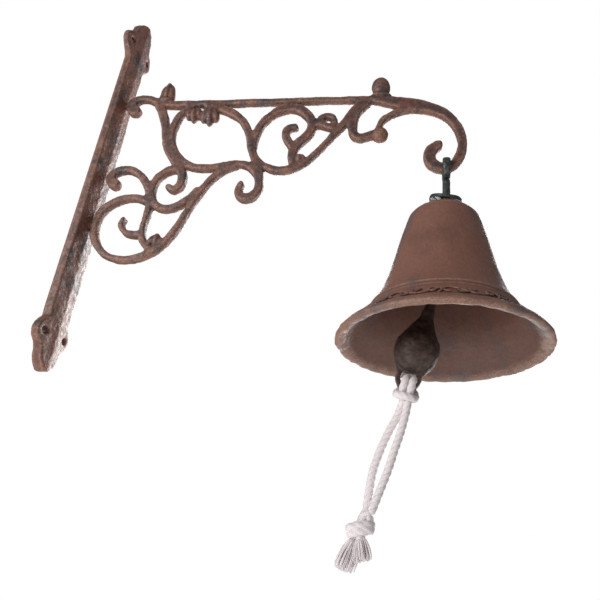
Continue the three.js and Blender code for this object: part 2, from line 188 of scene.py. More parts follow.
def sweep(
    line: Sequence[Vector],
    section: Callable[[int], Sequence[tuple[float, float]]],
    reference: Vector,
    closed: bool = False,
) -> Shape:
    """Carries a section along a line without twisting it.

    Args:
        line: The middle line.
        section: Gives the section's (u, v) points at a step; u starts along the reference.
        reference: The direction of u at the start.
        closed: Whether the line runs back into its start.

    Returns:
        The skin, with flat ends unless closed.
    """
    shape = Shape()
    count = len(line)
    side = reference.normalized()
    rings = []
    for i, middle in enumerate(line):
        after = line[(i + 1) % count] if closed else line[min(i + 1, count - 1)]
        before = line[i - 1] if closed or i else line[0]
        tangent = (after - before).normalized()
        side = (side - tangent * side.dot(tangent)).normalized()
        other = tangent.cross(side)
        ring = []
        for u, v in section(i):
            ring.append(len(shape.points))
            shape.points.append(middle + side * u + other * v)
        rings.append(ring)
    pairs = list(zip(rings, rings[1:]))
    if closed:
        pairs.append((rings[-1], rings[0]))
    for low, high in pairs:
        for k in range(len(low)):
            nxt = (k + 1) % len(low)
            shape.faces.append((low[k], low[nxt], high[nxt], high[k]))
    if not closed:
        shape.faces.append(tuple(reversed(rings[0])))
        shape.faces.append(tuple(rings[-1]))
    return shape


def lathe(profile: Sequence[Point], segments: int) -> Shape:
    """Turns a closed (radius, height) profile about Z.

    Args:
        profile: The outline, which starts and ends on the axis or runs back to its start.
        segments: Steps round the axis.

    Returns:
        The skin.
    """
    shape = Shape()
    rings = []
    for radius, height in profile:
        if radius < 1e-6:
            shape.points.append(Vector((0, 0, height)))
            rings.append([len(shape.points) - 1] * segments)
            continue
        ring = []
        for k in range(segments):
            angle = 2 * math.pi * k / segments
            ring.append(len(shape.points))
            shape.points.append(Vector((radius * math.cos(angle), radius * math.sin(angle), height)))
        rings.append(ring)
    pairs = list(zip(rings, rings[1:]))
    if profile[0][0] > 1e-6:
        pairs.append((rings[-1], rings[0]))
    for low, high in pairs:
        for k in range(segments):
            nxt = (k + 1) % segments
            face = list(dict.fromkeys((low[k], low[nxt], high[nxt], high[k])))
            if len(face) > 2:
                shape.faces.append(tuple(face))
    return shape


def ellipsoid(centre: Point, halves: Point, turn: float = 0.0) -> Shape:
    """Makes an ellipsoid, turned in the X-Z plane by degrees."""
    profile = [(math.sin(math.pi * i / 14), math.cos(math.pi * i / 14)) for i in range(15)]
    profile[0], profile[-1] = (0.0, 1.0), (0.0, -1.0)
    place = Matrix.Translation(Vector(centre)) @ Matrix.Rotation(math.radians(turn), 4, "Y")
    return lathe(profile, 20).moved(place @ Matrix.Diagonal((*halves, 1)))


def prism(
    loops: Sequence[Sequence[Point]],
    low: Callable[[Point], float],
    high: Callable[[Point], float],
) -> Shape:
    """Thickens a flat outline with holes.

    Args:
        loops: The outer outline and then the holes, as (a, b) points.
        low: The lower face's height at a point.
        high: The upper face's height at a point.

    Returns:
        A shape whose points are (a, b, height).
    """
    flat = [[Vector((a, b, 0)) for a, b in loop] for loop in loops]
    points = [point for loop in flat for point in loop]
    count = len(points)
    shape = Shape(
        [Vector((p.x, p.y, low(p))) for p in points] + [Vector((p.x, p.y, high(p))) for p in points]
    )
    for a, b, c in tessellate_polygon(flat):
        shape.faces.append((a, b, c))
        shape.faces.append((a + count, c + count, b + count))
    start = 0
    for loop in flat:
        for k in range(len(loop)):
            i, j = start + k, start + (k + 1) % len(loop)
            shape.faces.append((i, j, j + count, i + count))
        start += len(loop)
    return shape


def circle(a: float, b: float, radius: float, count: int = 28) -> list[tuple[float, float]]:
    """Gives the points of a circle round (a, b)."""
    angles = [2 * math.pi * k / count for k in range(count)]
    return [(a + radius * math.cos(t), b + radius * math.sin(t)) for t in angles]


# ---- meshes ----


def baked(obj: bpy.types.Object) -> bpy.types.Object:
    """Turns an object's modifiers into its mesh and removes them."""
    graph = bpy.context.evaluated_depsgraph_get()
    mesh = bpy.data.meshes.new_from_object(obj.evaluated_get(graph))
    old = obj.data
    obj.modifiers.clear()
    obj.data = mesh
    bpy.data.meshes.remove(old)
    mesh.name = obj.name
    return obj


def fused(shape: Shape, name: str, voxel: float, rounds: int) -> bpy.types.Object:
    """Melts overlapping shapes into one skin with softened edges, as a mould gives.

    Args:
        shape: The overlapping closed shapes.
        name: The object's name.
        voxel: The grid's pitch in millimetres.
        rounds: Passes of smoothing.

    Returns:
        The object.
    """
    obj = shape.to_object(name)
    remesh = obj.modifiers.new("fuse", "REMESH")
    remesh.mode = "VOXEL"
    remesh.voxel_size = voxel * MM
    smooth = obj.modifiers.new("soften", "SMOOTH")
    smooth.factor = 0.5
    smooth.iterations = rounds
    return baked(obj)


def coordinates(mesh: bpy.types.Mesh) -> np.ndarray:
    """Reads a mesh's points as rows, in metres."""
    flat = np.empty(len(mesh.vertices) * 3, np.float32)
    mesh.vertices.foreach_get("co", flat)
    return flat.reshape(-1, 3)


def normals(mesh: bpy.types.Mesh) -> np.ndarray:
    """Reads a mesh's point normals as rows."""
    flat = np.empty(len(mesh.vertices) * 3, np.float32)
    mesh.vertex_normals.foreach_get("vector", flat)
    return flat.reshape(-1, 3)


def roughen(
    obj: bpy.types.Object,
    depth: float,
    size: float,
    where: Callable[[np.ndarray], np.ndarray] | None = None,
) -> None:
    """Moves a mesh's points in and out by smooth noise, as a sand mould leaves a casting.

    Args:
        obj: The object.
        depth: The noise's height in millimetres.
        size: The noise's width in millimetres.
        where: Gives each point's share of the depth, from rows of millimetres.
    """
    mesh = obj.data
    co = coordinates(mesh)
    amount = np.array([noise.noise(Vector(row)) for row in co / (size * MM)], np.float32) * depth * MM
    if where:
        amount *= where(co / MM)
    co += normals(mesh) * amount[:, None]
    mesh.vertices.foreach_set("co", co.ravel())
    mesh.update()


def mark_hollows(obj: bpy.types.Object, rounds: int, depth: float) -> None:
    """Stores how sunk each point is as the attribute hollow: 0.5 is flat, 1 a deep corner.

    Args:
        obj: The object.
        rounds: Passes of averaging, which set how wide a hollow counts.
        depth: The sinking in millimetres that counts as full.
    """
    mesh = obj.data
    co = coordinates(mesh)
    edges = np.empty(len(mesh.edges) * 2, np.int32)
    mesh.edges.foreach_get("vertices", edges)
    a, b = edges.reshape(-1, 2).T
    degree = np.bincount(np.concatenate([a, b]), minlength=len(co)).astype(np.float32)
    soft = co.copy()
    for _ in range(rounds):
        total = np.column_stack(
            [np.bincount(a, soft[b, k], len(co)) + np.bincount(b, soft[a, k], len(co)) for k in range(3)]
        )
        soft = (0.5 * soft + 0.5 * total / np.maximum(degree, 1)[:, None]).astype(np.float32)
    sunk = ((soft - co) * normals(mesh)).sum(axis=1) / (depth * MM)
    layer = mesh.attributes.new("hollow", "FLOAT", "POINT")
    layer.data.foreach_set("value", np.clip(0.5 + 0.5 * sunk, 0, 1).astype(np.float32))


# ---- node trees ----


def srgb(code: str) -> tuple[float, float, float, float]:
    """Turns a hex colour into linear red, green, blue and alpha."""
    values = [int(code[i : i + 2], 16) / 255 for i in (1, 3, 5)]
    linear = [v / 12.92 if v <= 0.04045 else ((v + 0.055) / 1.055) ** 2.4 for v in values]
    return (*linear, 1.0)


def add(
    tree: bpy.types.NodeTree,
    kind: str,
    inputs: dict | None = None,
    **settings: object,
) -> bpy.types.Node:
    """Adds a node to a shader or geometry tree.

    Args:
        tree: The tree.
        kind: The node's type.
        inputs: Values, nodes or sockets for its inputs, by name or number.
        settings: The node's own properties.

    Returns:
        The node.
    """
    node = tree.nodes.new(kind)
    for name, value in settings.items():
        setattr(node, name, value)
    for key, value in (inputs or {}).items():
        if isinstance(value, bpy.types.Node):
            value = value.outputs[0]
        if isinstance(value, bpy.types.NodeSocket):
            tree.links.new(value, node.inputs[key])
        else:
            node.inputs[key].default_value = value
    return node


MIX_FACTOR, MIX_A, MIX_B, MIX_RESULT = 0, 6, 7, 2  # sockets of a colour Mix node


class Surface:
    """A material under construction, with the patterns that every finish here uses."""

    def __init__(self, name: str) -> None:
        """Starts an empty material."""
        self.material = bpy.data.materials.new(name)
        self.material.use_nodes = True
        self.tree = self.material.node_tree
        self.tree.nodes.clear()
        self.place = add(self.tree, "ShaderNodeTexCoord").outputs["Object"]

    def grain(self, size: float, detail: float = 2.0, stretch: Point = (1, 1, 1)) -> bpy.types.NodeSocket:
        """Gives smooth noise with lumps of a size in millimetres, stretched along the axes."""
        scaled = add(
            self.tree,
            "ShaderNodeMapping",
            {"Vector": self.place, "Scale": tuple(1 / (s * size * MM) for s in stretch)},
        )
        lumps = add(
            self.tree,
            "ShaderNodeTexNoise",
            {"Vector": scaled, "Scale": 1.0, "Detail": detail, "Roughness": 0.55},
        )
        return lumps.outputs["Fac"]

    def ramp(
        self,
        value: object,
        start: float,
        end: float,
        low: float = 0.0,
        high: float = 1.0,
    ) -> bpy.types.NodeSocket:
        """Maps start to low and end to high, and holds beyond them."""
        return add(
            self.tree,
            "ShaderNodeMapRange",
            {"Value": value, "From Min": start, "From Max": end, "To Min": low, "To Max": high},
        ).outputs[0]

    def math(self, operation: str, first: object, second: object) -> bpy.types.NodeSocket:
        """Combines two values."""
        return add(self.tree, "ShaderNodeMath", {0: first, 1: second}, operation=operation).outputs[0]

    def blend(self, share: object, below: object, above: object, mode: str = "MIX") -> bpy.types.NodeSocket:
        """Lays one colour over another."""
        mix = add(
            self.tree,
            "ShaderNodeMix",
            {MIX_FACTOR: share, MIX_A: below, MIX_B: above},
            data_type="RGBA",
            blend_type=mode,
        )
        return mix.outputs[MIX_RESULT]

    def hollow(self) -> bpy.types.NodeSocket:
        """Reads how sunk the surface is."""
        return add(self.tree, "ShaderNodeAttribute", attribute_name="hollow").outputs["Fac"]

    def bump(self, height: object, depth: float, below: object | None = None) -> bpy.types.NodeSocket:
        """Raises the surface by a height pattern of a depth in millimetres."""
        inputs = {"Height": height, "Distance": depth * MM, "Strength": 1.0}
        if below is not None:
            inputs["Normal"] = below
        return add(self.tree, "ShaderNodeBump", inputs).outputs[0]

    def finish(self, colour: object, roughness: object, normal: object, **fixed: float) -> bpy.types.Material:
        """Ends the material in a principled shader.

        Args:
            colour: Its colour.
            roughness: Its roughness.
            normal: Its bumped normal.
            fixed: Values that are the same all over, by socket name with _ for spaces.

        Returns:
            The material.
        """
        inputs = {"Base Color": colour, "Roughness": roughness, "Normal": normal}
        inputs.update({key.replace("_", " "): value for key, value in fixed.items()})
        shader = add(self.tree, "ShaderNodeBsdfPrincipled", inputs)
        add(self.tree, "ShaderNodeOutputMaterial", {"Surface": shader})
        return self.material


# ---- finishes ----


@dataclass(frozen=True)
class PaintedIron:
    """Sand-cast iron under one thin coat of rust-brown paint.

    The skin shows sand grain through the paint, dark primer in patches where the brown was
    wiped thin, and a paler rubbed tone along the edges. The primer colour is also laid as
    painted shade in the hollows, on faces that look along Y and on the inner wall.
    """

    name: str
    paint: str
    # dark primer, also the colour of the painted shade
    primer_and_painted_shade: str
    rubbed: str
    smudge: str
    patch: float = 15.0
    sand: float = 0.75
    sand_depth: float = 0.09
    primer_share: float = 0.6
    smudge_from: float = 0.6
    # share of painted shade on faces that look along Y
    painted_face_shade: float = 0.0
    # share of painted shade on the inner wall
    painted_inside_shade: float = 0.0
    gloss: tuple[float, float] = (0.42, 0.62)
    streak: Point = (1, 1, 1)

    def build(self) -> bpy.types.Material:
        """Returns the material."""
        s = Surface(self.name)
        sand = s.grain(self.sand, 3)
        cloud = s.grain(self.patch, 4)
        wiped = s.ramp(cloud, 0.47, 0.66, 0, self.primer_share)
        # painted shade: the hollows, with a little noise, take the primer colour
        sunk = s.ramp(s.math("ADD", s.hollow(), s.ramp(s.grain(3.5, 3), 0, 1, -0.07, 0.07)), 0.56, 0.78)
        dark = s.math("MAXIMUM", wiped, sunk)
        # painted shade: faces that look along Y take the primer colour in patches
        sides = add(s.tree, "ShaderNodeSeparateXYZ", {0: add(s.tree, "ShaderNodeTexCoord").outputs["Normal"]})
        face = s.ramp(s.math("ABSOLUTE", sides.outputs["Y"], 0.0), 0.7, 0.95, 0, self.painted_face_shade)
        dark = s.math("MAXIMUM", dark, s.math("MULTIPLY", face, s.ramp(s.grain(5, 3), 0.36, 0.6)))
        # painted shade: the inner wall takes the primer colour
        inside = add(s.tree, "ShaderNodeAttribute", attribute_name="inside").outputs["Fac"]
        dark = s.math("MAXIMUM", dark, s.math("MULTIPLY", inside, self.painted_inside_shade))
        worn = s.ramp(s.hollow(), 0.47, 0.3, 0, 0.55)
        # the dark mask lays the primer colour: wiped patches, and painted shade elsewhere
        colour = s.blend(dark, srgb(self.paint), srgb(self.primer_and_painted_shade))
        colour = s.blend(s.math("MULTIPLY", worn, s.ramp(sand, 0.35, 0.6)), colour, srgb(self.rubbed))
        stained = s.grain(self.patch * 0.9, 5, self.streak)
        smudge = s.ramp(stained, self.smudge_from, self.smudge_from + 0.14, 0, 0.6)
        colour = s.blend(smudge, colour, srgb(self.smudge))
        brushed = s.grain(1.1, 2, self.streak)
        shade = s.ramp(s.math("ADD", sand, brushed), 0.7, 1.3, 0.84, 1.16)
        tone = add(s.tree, "ShaderNodeCombineColor", {0: shade, 1: shade, 2: shade})
        colour = s.blend(1.0, colour, tone.outputs[0], "MULTIPLY")
        roughness = s.ramp(s.grain(2.4), 0.35, 0.65, *self.gloss)
        pits = s.bump(s.ramp(s.grain(2.8, 3), 0.3, 0.7), self.sand_depth * 2)
        normal = s.bump(sand, self.sand_depth, pits)
        return s.finish(colour, roughness, normal, Metallic=0.0, Specular_IOR_Level=0.45)


@dataclass(frozen=True)
class DarkSteel:
    """Drawn steel under thin black-green lacquer: smooth, with grey where the lacquer is rubbed."""

    name: str
    lacquer: str
    rubbed: str
    gloss: tuple[float, float] = (0.3, 0.5)

    def build(self) -> bpy.types.Material:
        """Returns the material."""
        s = Surface(self.name)
        fine = s.grain(0.6, 3)
        worn = s.math("MULTIPLY", s.ramp(s.hollow(), 0.47, 0.33), s.ramp(s.grain(1.8, 3), 0.4, 0.6, 0.2, 0.8))
        colour = s.blend(worn, srgb(self.lacquer), srgb(self.rubbed))
        colour = s.blend(s.ramp(s.grain(4, 3), 0.5, 0.7, 0, 0.35), colour, srgb(self.rubbed))
        roughness = s.ramp(fine, 0.35, 0.65, *self.gloss)
        return s.finish(colour, roughness, s.bump(fine, 0.05), Metallic=0.35)


@dataclass(frozen=True)
class BareIron:
    """Unpainted sand-cast iron gone brown: matt, open grain, paler on its raised edges."""

    name: str
    skin: str
    bare: str
    grain: float = 0.9

    def build(self) -> bpy.types.Material:
        """Returns the material."""
        s = Surface(self.name)
        fine = s.grain(self.grain, 4)
        cloud = s.ramp(s.grain(5, 4), 0.42, 0.72, 0, 0.4)
        rubbed = s.ramp(s.hollow(), 0.46, 0.3, 0, 0.5)
        colour = s.blend(s.math("MAXIMUM", cloud, rubbed), srgb(self.skin), srgb(self.bare))
        colour = s.blend(s.ramp(fine, 0.52, 0.7, 0, 0.5), colour, srgb(self.skin))
        normal = s.bump(fine, 0.16, s.bump(s.grain(3, 2), 0.25))
        return s.finish(colour, s.ramp(fine, 0.3, 0.7, 0.45, 0.7), normal, Metallic=0.25)


@dataclass(frozen=True)
class LaidCotton:
    """Soft unbleached cotton cord: matt and fuzzy, its hairs drawn coarse enough to show."""

    name: str
    yarn: str
    shadow: str

    def build(self) -> bpy.types.Material:
        """Returns the material."""
        s = Surface(self.name)
        hairs = s.grain(0.5, 3, (1, 1, 2.2))
        between = s.ramp(s.hollow(), 0.5, 0.72, 0, 0.85)
        colour = s.blend(between, srgb(self.yarn), srgb(self.shadow))
        colour = s.blend(s.ramp(hairs, 0.5, 0.75, 0, 0.35), colour, srgb(self.shadow))
        normal = s.bump(hairs, 0.16)
        return s.finish(colour, 0.95, normal, Metallic=0.0, Sheen_Weight=0.35, Sheen_Roughness=0.5)


@dataclass(frozen=True)
class Finishes:
    """One material for each kind of metal and for the cord."""

    bracket: bpy.types.Material
    bell: bpy.types.Material
    steel: bpy.types.Material
    iron: bpy.types.Material
    cotton: bpy.types.Material

    @staticmethod
    def made() -> Finishes:
        """Builds every finish."""
        return Finishes(
            bracket=PaintedIron(
                "painted_cast_iron_bracket",
                paint="#744b3d",
                # also the colour of the painted shade in the hollows and on the flat faces
                primer_and_painted_shade="#26252a",
                rubbed="#a5816f",
                smudge="#33343d",
                patch=11,
                primer_share=0.8,
                smudge_from=0.55,
                # painted shade on the bars' flat faces
                painted_face_shade=0.62,
                gloss=(0.4, 0.62),
            ).build(),
            bell=PaintedIron(
                "painted_cast_iron_bell",
                paint="#7a5244",
                # also the colour of the painted shade in the hollows and on the inner wall
                primer_and_painted_shade="#3a2c28",
                rubbed="#a88875",
                smudge="#4b4549",
                patch=26,
                sand=0.55,
                sand_depth=0.05,
                primer_share=0.3,
                smudge_from=0.54,
                # painted shade on the bell's inner wall
                painted_inside_shade=0.36,
                streak=(0.8, 0.8, 3.2),
            ).build(),
            steel=DarkSteel("lacquered_steel", lacquer="#1b1f1c", rubbed="#565a58").build(),
            iron=BareIron("bare_cast_iron", skin="#382821", bare="#7a675c").build(),
            cotton=LaidCotton("laid_cotton", yarn="#e8dfe0", shadow="#b5a9aa").build(),
        )


@dataclass
class Piece:
    """A finished object on its way into the frame."""

    obj: bpy.types.Object
    body: Body
    slot: Slot
    material: bpy.types.Material
    stands_for: tuple[str, ...] = ()

    def dress(self, crease: float = 180.0) -> bpy.types.Object:
        """Gives the object its material and body, and hides the CAD nodes that it stands for.

        Args:
            crease: The angle in degrees past which an edge stays sharp.

        Returns:
            The object.
        """
        mesh = self.obj.data
        mesh.materials.clear()
        mesh.materials.append(self.material)
        mesh.polygons.foreach_set("use_smooth", [True] * len(mesh.polygons))
        if crease < 180:
            mesh.set_sharp_from_angle(angle=math.radians(crease))
        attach(self.obj, self.body.value)
        if self.stands_for:
            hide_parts(*self.stands_for)
        LOG.info("%s: %d faces on %s", self.obj.name, len(mesh.polygons), self.body.value)
        return self.obj


@dataclass(frozen=True)
class Axes:
    """Where the hanging bodies stand, in millimetres, from the frame's joints."""

    hang: Matrix
    swing: Matrix

    @staticmethod
    def of(joints: Sequence[dict]) -> Axes:
        """Works out both frames.

        Args:
            joints: The frame's joints.

        Returns:
            The bolt's frame, with Z up the bolt from the hook, and the clapper's frame, with Z
            up the clapper from the wire that its link hangs on.
        """
        by_name = {joint["name"]: joint for joint in joints}
        turn = by_name["bell_turn"]
        lean = math.atan2(turn["axis"][0], turn["axis"][2])
        sway = by_name["clapper_swing"]["axis"]
        clapper_lean = math.atan2(-sway[2], sway[0])
        hook = Vector(turn["pos_m"]) / MM
        seat = Vector(by_name["link_swing"]["pos_m"]) / MM
        return Axes(
            Matrix.Translation(hook) @ Matrix.Rotation(lean, 4, "Y"),
            Matrix.Translation(seat) @ Matrix.Rotation(clapper_lean, 4, "Y"),
        )


# ---- bracket ----

BarPoints = list[tuple[float, float, float]]  # x, z and width along the middle of a bar


@dataclass
class WallPlate:
    """The upright that screws to the wall: a low ridged bar with three-lobed ends."""

    half_width: float = 8.5
    edge: float = 4.4
    ridge: float = 6.0
    hole_height: float = 106.5
    hole_radius: float = 1.9
    hole_offset: float = 9.0
    sizes: tuple[float, float] = (1.1, 0.88)  # of the upper and the lower end
    # across from the middle line and up from the screw holes, at size 1
    lobes: tuple[tuple[float, float], ...] = (
        (9, -9.4), (11.6, -6.6), (13.8, -3), (14.2, 0.6), (12.9, 4.4),
        (9.4, 7.4), (8, 10.6), (7.2, 15), (4.6, 19.2), (1.8, 21.6), (0, 22),
    )  # fmt: skip

    def half_outline(self) -> list[tuple[float, float]]:
        """Gives one long edge with both ends, from the lower tip to the upper one."""
        shoulder = self.hole_height - 13.5
        upper = [(a * self.sizes[0], self.hole_height + b * self.sizes[0]) for a, b in self.lobes]
        lower = [(a * self.sizes[1], -self.hole_height - b * self.sizes[1]) for a, b in self.lobes]
        return [*reversed(lower), (self.half_width, -shoulder), (self.half_width, shoulder), *upper]

    def build(self) -> Shape:
        """Returns both halves, which overlap a little along the ridge."""
        slope = (self.ridge - self.edge) / self.half_width
        half = [(max(a, 0), b) for a, b in self.half_outline()]
        outline = [*half, (-0.3, half[-1][1]), (-0.3, half[0][1])]
        holes = [
            circle(self.hole_offset * size, side * self.hole_height, self.hole_radius)
            for size, side in zip(self.sizes, (1, -1))
        ]
        stand = prism([outline, *holes], lambda p: 0.0, lambda p: self.ridge - slope * max(p.x, 0))
        upright = Matrix(((0, 0, 1, 0), (1, 0, 0, 0), (0, 1, 0, 0), (0, 0, 0, 1)))
        mirror = Matrix.Diagonal((1, -1, 1, 1))
        right = stand.moved(upright)
        left = right.moved(mirror)
        left.faces = [tuple(reversed(face)) for face in left.faces]
        return right.add(left)


@dataclass
class ScrollArm:
    """The scrollwork arm: flat bars that curl, with buds and leaves, ending in the hook."""

    thickness: float = 5.0
    bars: tuple[BarPoints, ...] = (
        # top bar, from its curl against the plate
        [(12.6, 50, 8), (10.2, 53.6, 7), (10.6, 58, 5.4), (15, 60.6, 4.6), (21, 60.2, 4.6),
         (27, 57.2, 5.4), (35, 55.2, 5), (60, 55, 4.2), (100, 55.4, 3.9), (150, 55.6, 3.9),
         (172, 55.3, 5)],
        # hook
        [(164, 55.5, 4), (178, 53, 7.5), (190, 49.8, 10.6), (200, 47.6, 8.8), (208.5, 44, 7.4),
         (214.6, 38.8, 6.8), (219.4, 31, 6.2), (221.8, 22, 5.8), (221.8, 13.5, 5.7),
         (219.4, 5.6, 5.9), (215, -0.2, 5.8), (209.4, -2, 6.6), (203.2, 1.2, 7.4), (201.6, 7, 7.6),
         (203.4, 12.4, 7.6), (207, 15.8, 6.2)],
        [(170.5, 30, 3.6), (173, 36.8, 3.4), (178, 41.4, 3.4), (185, 44.8, 4), (192, 47, 5)],
        # long S from the top bar down past the oval
        [(28.4, 53.4, 6), (30.2, 50, 6), (33, 43.5, 5.6), (35.6, 34, 4.6), (37.6, 26, 5),
         (41.4, 17, 6.4), (46.5, 9, 7), (51, 2, 6), (53.4, -5.5, 4.8), (53, -11.5, 4.6),
         (49.6, -14.2, 4.4), (46.8, -12.4, 4)],
        # oval and drop curl
        [(50, 53, 4), (44, 46.5, 4), (41, 38.5, 4.4), (40.2, 29.5, 4.6), (42, 20.5, 5.4),
         (46.5, 12.5, 6), (53, 6, 5), (60, 2.5, 4.3), (68, 2, 4.3), (76, 3, 4.2), (84, 4.6, 4),
         (91, 3.6, 4.6), (97, -1.5, 5), (100, -8.5, 4.9), (100, -15.5, 5), (96.4, -20.5, 5.6),
         (91.2, -20.4, 5.6), (88.6, -16, 4.8), (89.6, -11, 3.6)],
        # small C between the oval and the plate
        [(50, 2, 5), (44.5, 1, 4.6), (39.6, -3.4, 4.2), (37, -10, 4.2), (37, -17, 4.4),
         (40, -23.6, 4.4), (46, -27.4, 4.3), (52.5, -26.6, 4.2), (58.5, -22.4, 4), (64, -15, 3.6)],
        # second curl against the plate, and the divider
        [(13, -9, 7), (10.4, -6, 6), (10.8, -1, 5), (15, 1.6, 4.4), (21, 1.6, 4.4), (27, -2, 4.4),
         (32, -8, 4.6), (35.4, -15, 4.6), (37, -23, 4.2), (37.4, -32, 3.2), (37, -41, 3),
         (38.4, -49, 3.6), (43, -55, 4)],
        # lower loop and the long S that carries it up under the oval
        [(36, -22, 5), (30, -19.6, 4.2), (23, -19.6, 4.2), (15.8, -22.6, 4.2), (10.6, -28.6, 4.2),
         (8.8, -37, 4), (9.8, -45, 4), (13.6, -52.6, 4), (20, -58.6, 3.8), (27.5, -61.2, 3.6),
         (35, -61.2, 3.8), (42, -58.8, 4), (48.4, -54, 4), (53.6, -47, 3.8), (57.4, -38.6, 3.6),
         (60.6, -29.6, 3.6), (64, -20.6, 3.6), (67.6, -12.6, 3.8), (72.4, -5, 4), (79, 1, 4),
         (86, 4.4, 4)],
        # curl inside the lower loop
        [(37, -45, 4), (31, -44.8, 3.8), (26.8, -43, 3.4), (24, -38.6, 3), (24.6, -34.4, 2)],
        # from the oval's top to the drop curl
        [(60, 53, 5), (69, 50.4, 5.6), (76.6, 46.4, 5.6), (83, 41, 5.2), (87.4, 34, 4.8),
         (90.4, 26, 4.8), (92.4, 17.5, 5), (95, 9.6, 5), (98.4, 2, 5), (100, -6, 4.6)],
        # large C
        [(93, 16, 4.6), (93.6, 24, 4.6), (95.2, 32, 4.6), (98.8, 39.4, 4.8), (104.4, 45.6, 5.4),
         (111.5, 49.4, 6.4), (119, 48.6, 6.4), (125, 43.6, 6.2), (128.6, 36.4, 5.8),
         (128, 29.4, 5.6), (124.6, 23.6, 5.6), (120.4, 18.4, 5.6), (118.2, 12.4, 5.4),
         (118.6, 5, 5)],
        [(118, 16, 5), (114.4, 22.4, 5), (112.8, 27.6, 5), (114.4, 32.2, 4.6), (118.2, 33, 4)],
        [(94, 12, 4.8), (98.6, 5.2, 4.6), (104.4, 1, 4.4), (111, -0.8, 4.3), (118, 0, 4.4),
         (124.6, 3.6, 4), (130.4, 9, 3.2), (135.6, 15.6, 3), (140.4, 22.6, 3.4), (145, 29.4, 4.4),
         (149.6, 36.4, 5), (153.6, 43.6, 5.2), (158, 51, 5)],
        # hook-side C that ends in a ball
        [(163, 52, 5), (157.6, 46, 5.4), (154.8, 39, 5.8), (154.4, 32, 6), (155.4, 26.4, 6),
         (158.6, 23.4, 5.6), (163, 24, 5), (168, 26, 5)],
        # crossbar of the leaf curl
        [(129, 35, 4.6), (135, 34.6, 4.6), (141.6, 31.6, 4.4)],
        # the leaf that curls up from it
        [(141.2, 32.6, 4), (143, 36.4, 3.8), (141.6, 40.4, 4), (137.6, 41.8, 4.4),
         (134.4, 39.6, 4.6), (135, 36.4, 4)],
    )  # fmt: skip
    # x, z, half width, half height, half depth and turn of each bud, petal and ball
    buds: tuple[tuple[float, ...], ...] = (
        (28.9, 64.6, 2.1, 8.6, 3.0, 8), (31.3, 65.8, 2.1, 9.2, 3.9, 0), (33.9, 65, 2.0, 8.4, 3.0, -8),
        (31.2, 58.6, 5.2, 2.4, 3.4, 0), (171.8, 66, 6.3, 8.9, 4.4, 0), (171.8, 58.4, 7.2, 2.2, 3.6, 0),
        (171.6, 25.4, 5.3, 5.6, 4.2, 0),
        (49.2, 46.6, 2.2, 5.2, 3.2, 8), (52.2, 45.2, 2.3, 6.0, 3.8, 0), (55.2, 46.8, 2.0, 5.0, 3.2, -8),
        (59.4, 45.4, 2.6, 6.6, 3.2, 8), (62.6, 44.0, 2.7, 7.8, 3.9, 0), (65.8, 45.8, 2.5, 6.4, 3.2, -10),
        (43.4, -50, 1.9, 4.6, 3, 16), (46.4, -49.4, 2, 5, 3.5, 0), (49, -50.4, 1.7, 4, 2.9, -14),
        (119.4, 7, 2.2, 4, 3, 20), (122.6, 7.6, 2.2, 3.8, 3.5, 0), (125.2, 8, 1.7, 3, 2.9, -18),
    )  # fmt: skip

    def bar(self, points: BarPoints) -> Shape:
        """Makes one bar with rounded edges and round ends.

        Args:
            points: Its middle line and widths.

        Returns:
            The bar.
        """
        rows = smooth_line(points, 1.1, 2)
        line = [Vector((x, 0, z)) for x, z, _ in rows]
        widths = [row[2] for row in rows]
        for end in (0, -1):
            inner = line[1] if end == 0 else line[-2]
            way = (line[end] - inner).normalized()
            radius = widths[end] / 2
            tip = []
            for k in range(1, 6):
                angle = k * math.pi / 2 / 5.3
                tip.append((line[end] + way * radius * math.sin(angle), 2 * radius * math.cos(angle)))
            if end == 0:
                line = [point for point, _ in reversed(tip)] + line
                widths = [width for _, width in reversed(tip)] + widths
            else:
                line += [point for point, _ in tip]
                widths += [width for _, width in tip]
        half = self.thickness / 2

        def section(i: int) -> list[tuple[float, float]]:
            """Gives the rounded rectangle at a step, its depth along the reference."""
            return oval(half, widths[i] / 2, 24, 5.5)

        return sweep(line, section, Vector((0, 1, 0)))

    def build(self) -> Shape:
        """Returns every bar, bud and leaf as overlapping solids."""
        shape = Shape()
        for points in self.bars:
            shape.add(self.bar(points))
        for x, z, wide, high, deep, turn in self.buds:
            shape.add(ellipsoid((x, 0, z), (wide, deep, high), turn))
        return shape


@dataclass
class Bracket:
    """Plate and arm, cast in one."""

    plate: WallPlate = field(default_factory=WallPlate)
    arm: ScrollArm = field(default_factory=ScrollArm)
    voxel: float = 0.72

    def build(self, finishes: Finishes) -> bpy.types.Object:
        """Casts the bracket and dresses it.

        Args:
            finishes: The materials.

        Returns:
            The casting.
        """
        whole = self.plate.build().add(self.arm.build())
        obj = fused(whole, "bracket_casting", self.voxel, 2)
        roughen(obj, 0.34, 6.5, lambda co: np.clip(co[:, 0] - 0.4, 0, 1))
        roughen(obj, 0.16, 1.9, lambda co: np.clip(co[:, 0] - 0.4, 0, 1))
        co = coordinates(obj.data)
        co[:, 0] = np.where(co[:, 0] < 0.45 * MM, 0, co[:, 0])  # the back lies flat on the wall
        obj.data.vertices.foreach_set("co", co.ravel())
        obj.data.update()
        mark_hollows(obj, 10, 0.55)
        nodes = ("wall_plate", "scroll_arm", "hook_bar")
        return Piece(obj, Body.BRACKET, Slot.CASTING, finishes.bracket, nodes).dress()


# ---- hanger ----


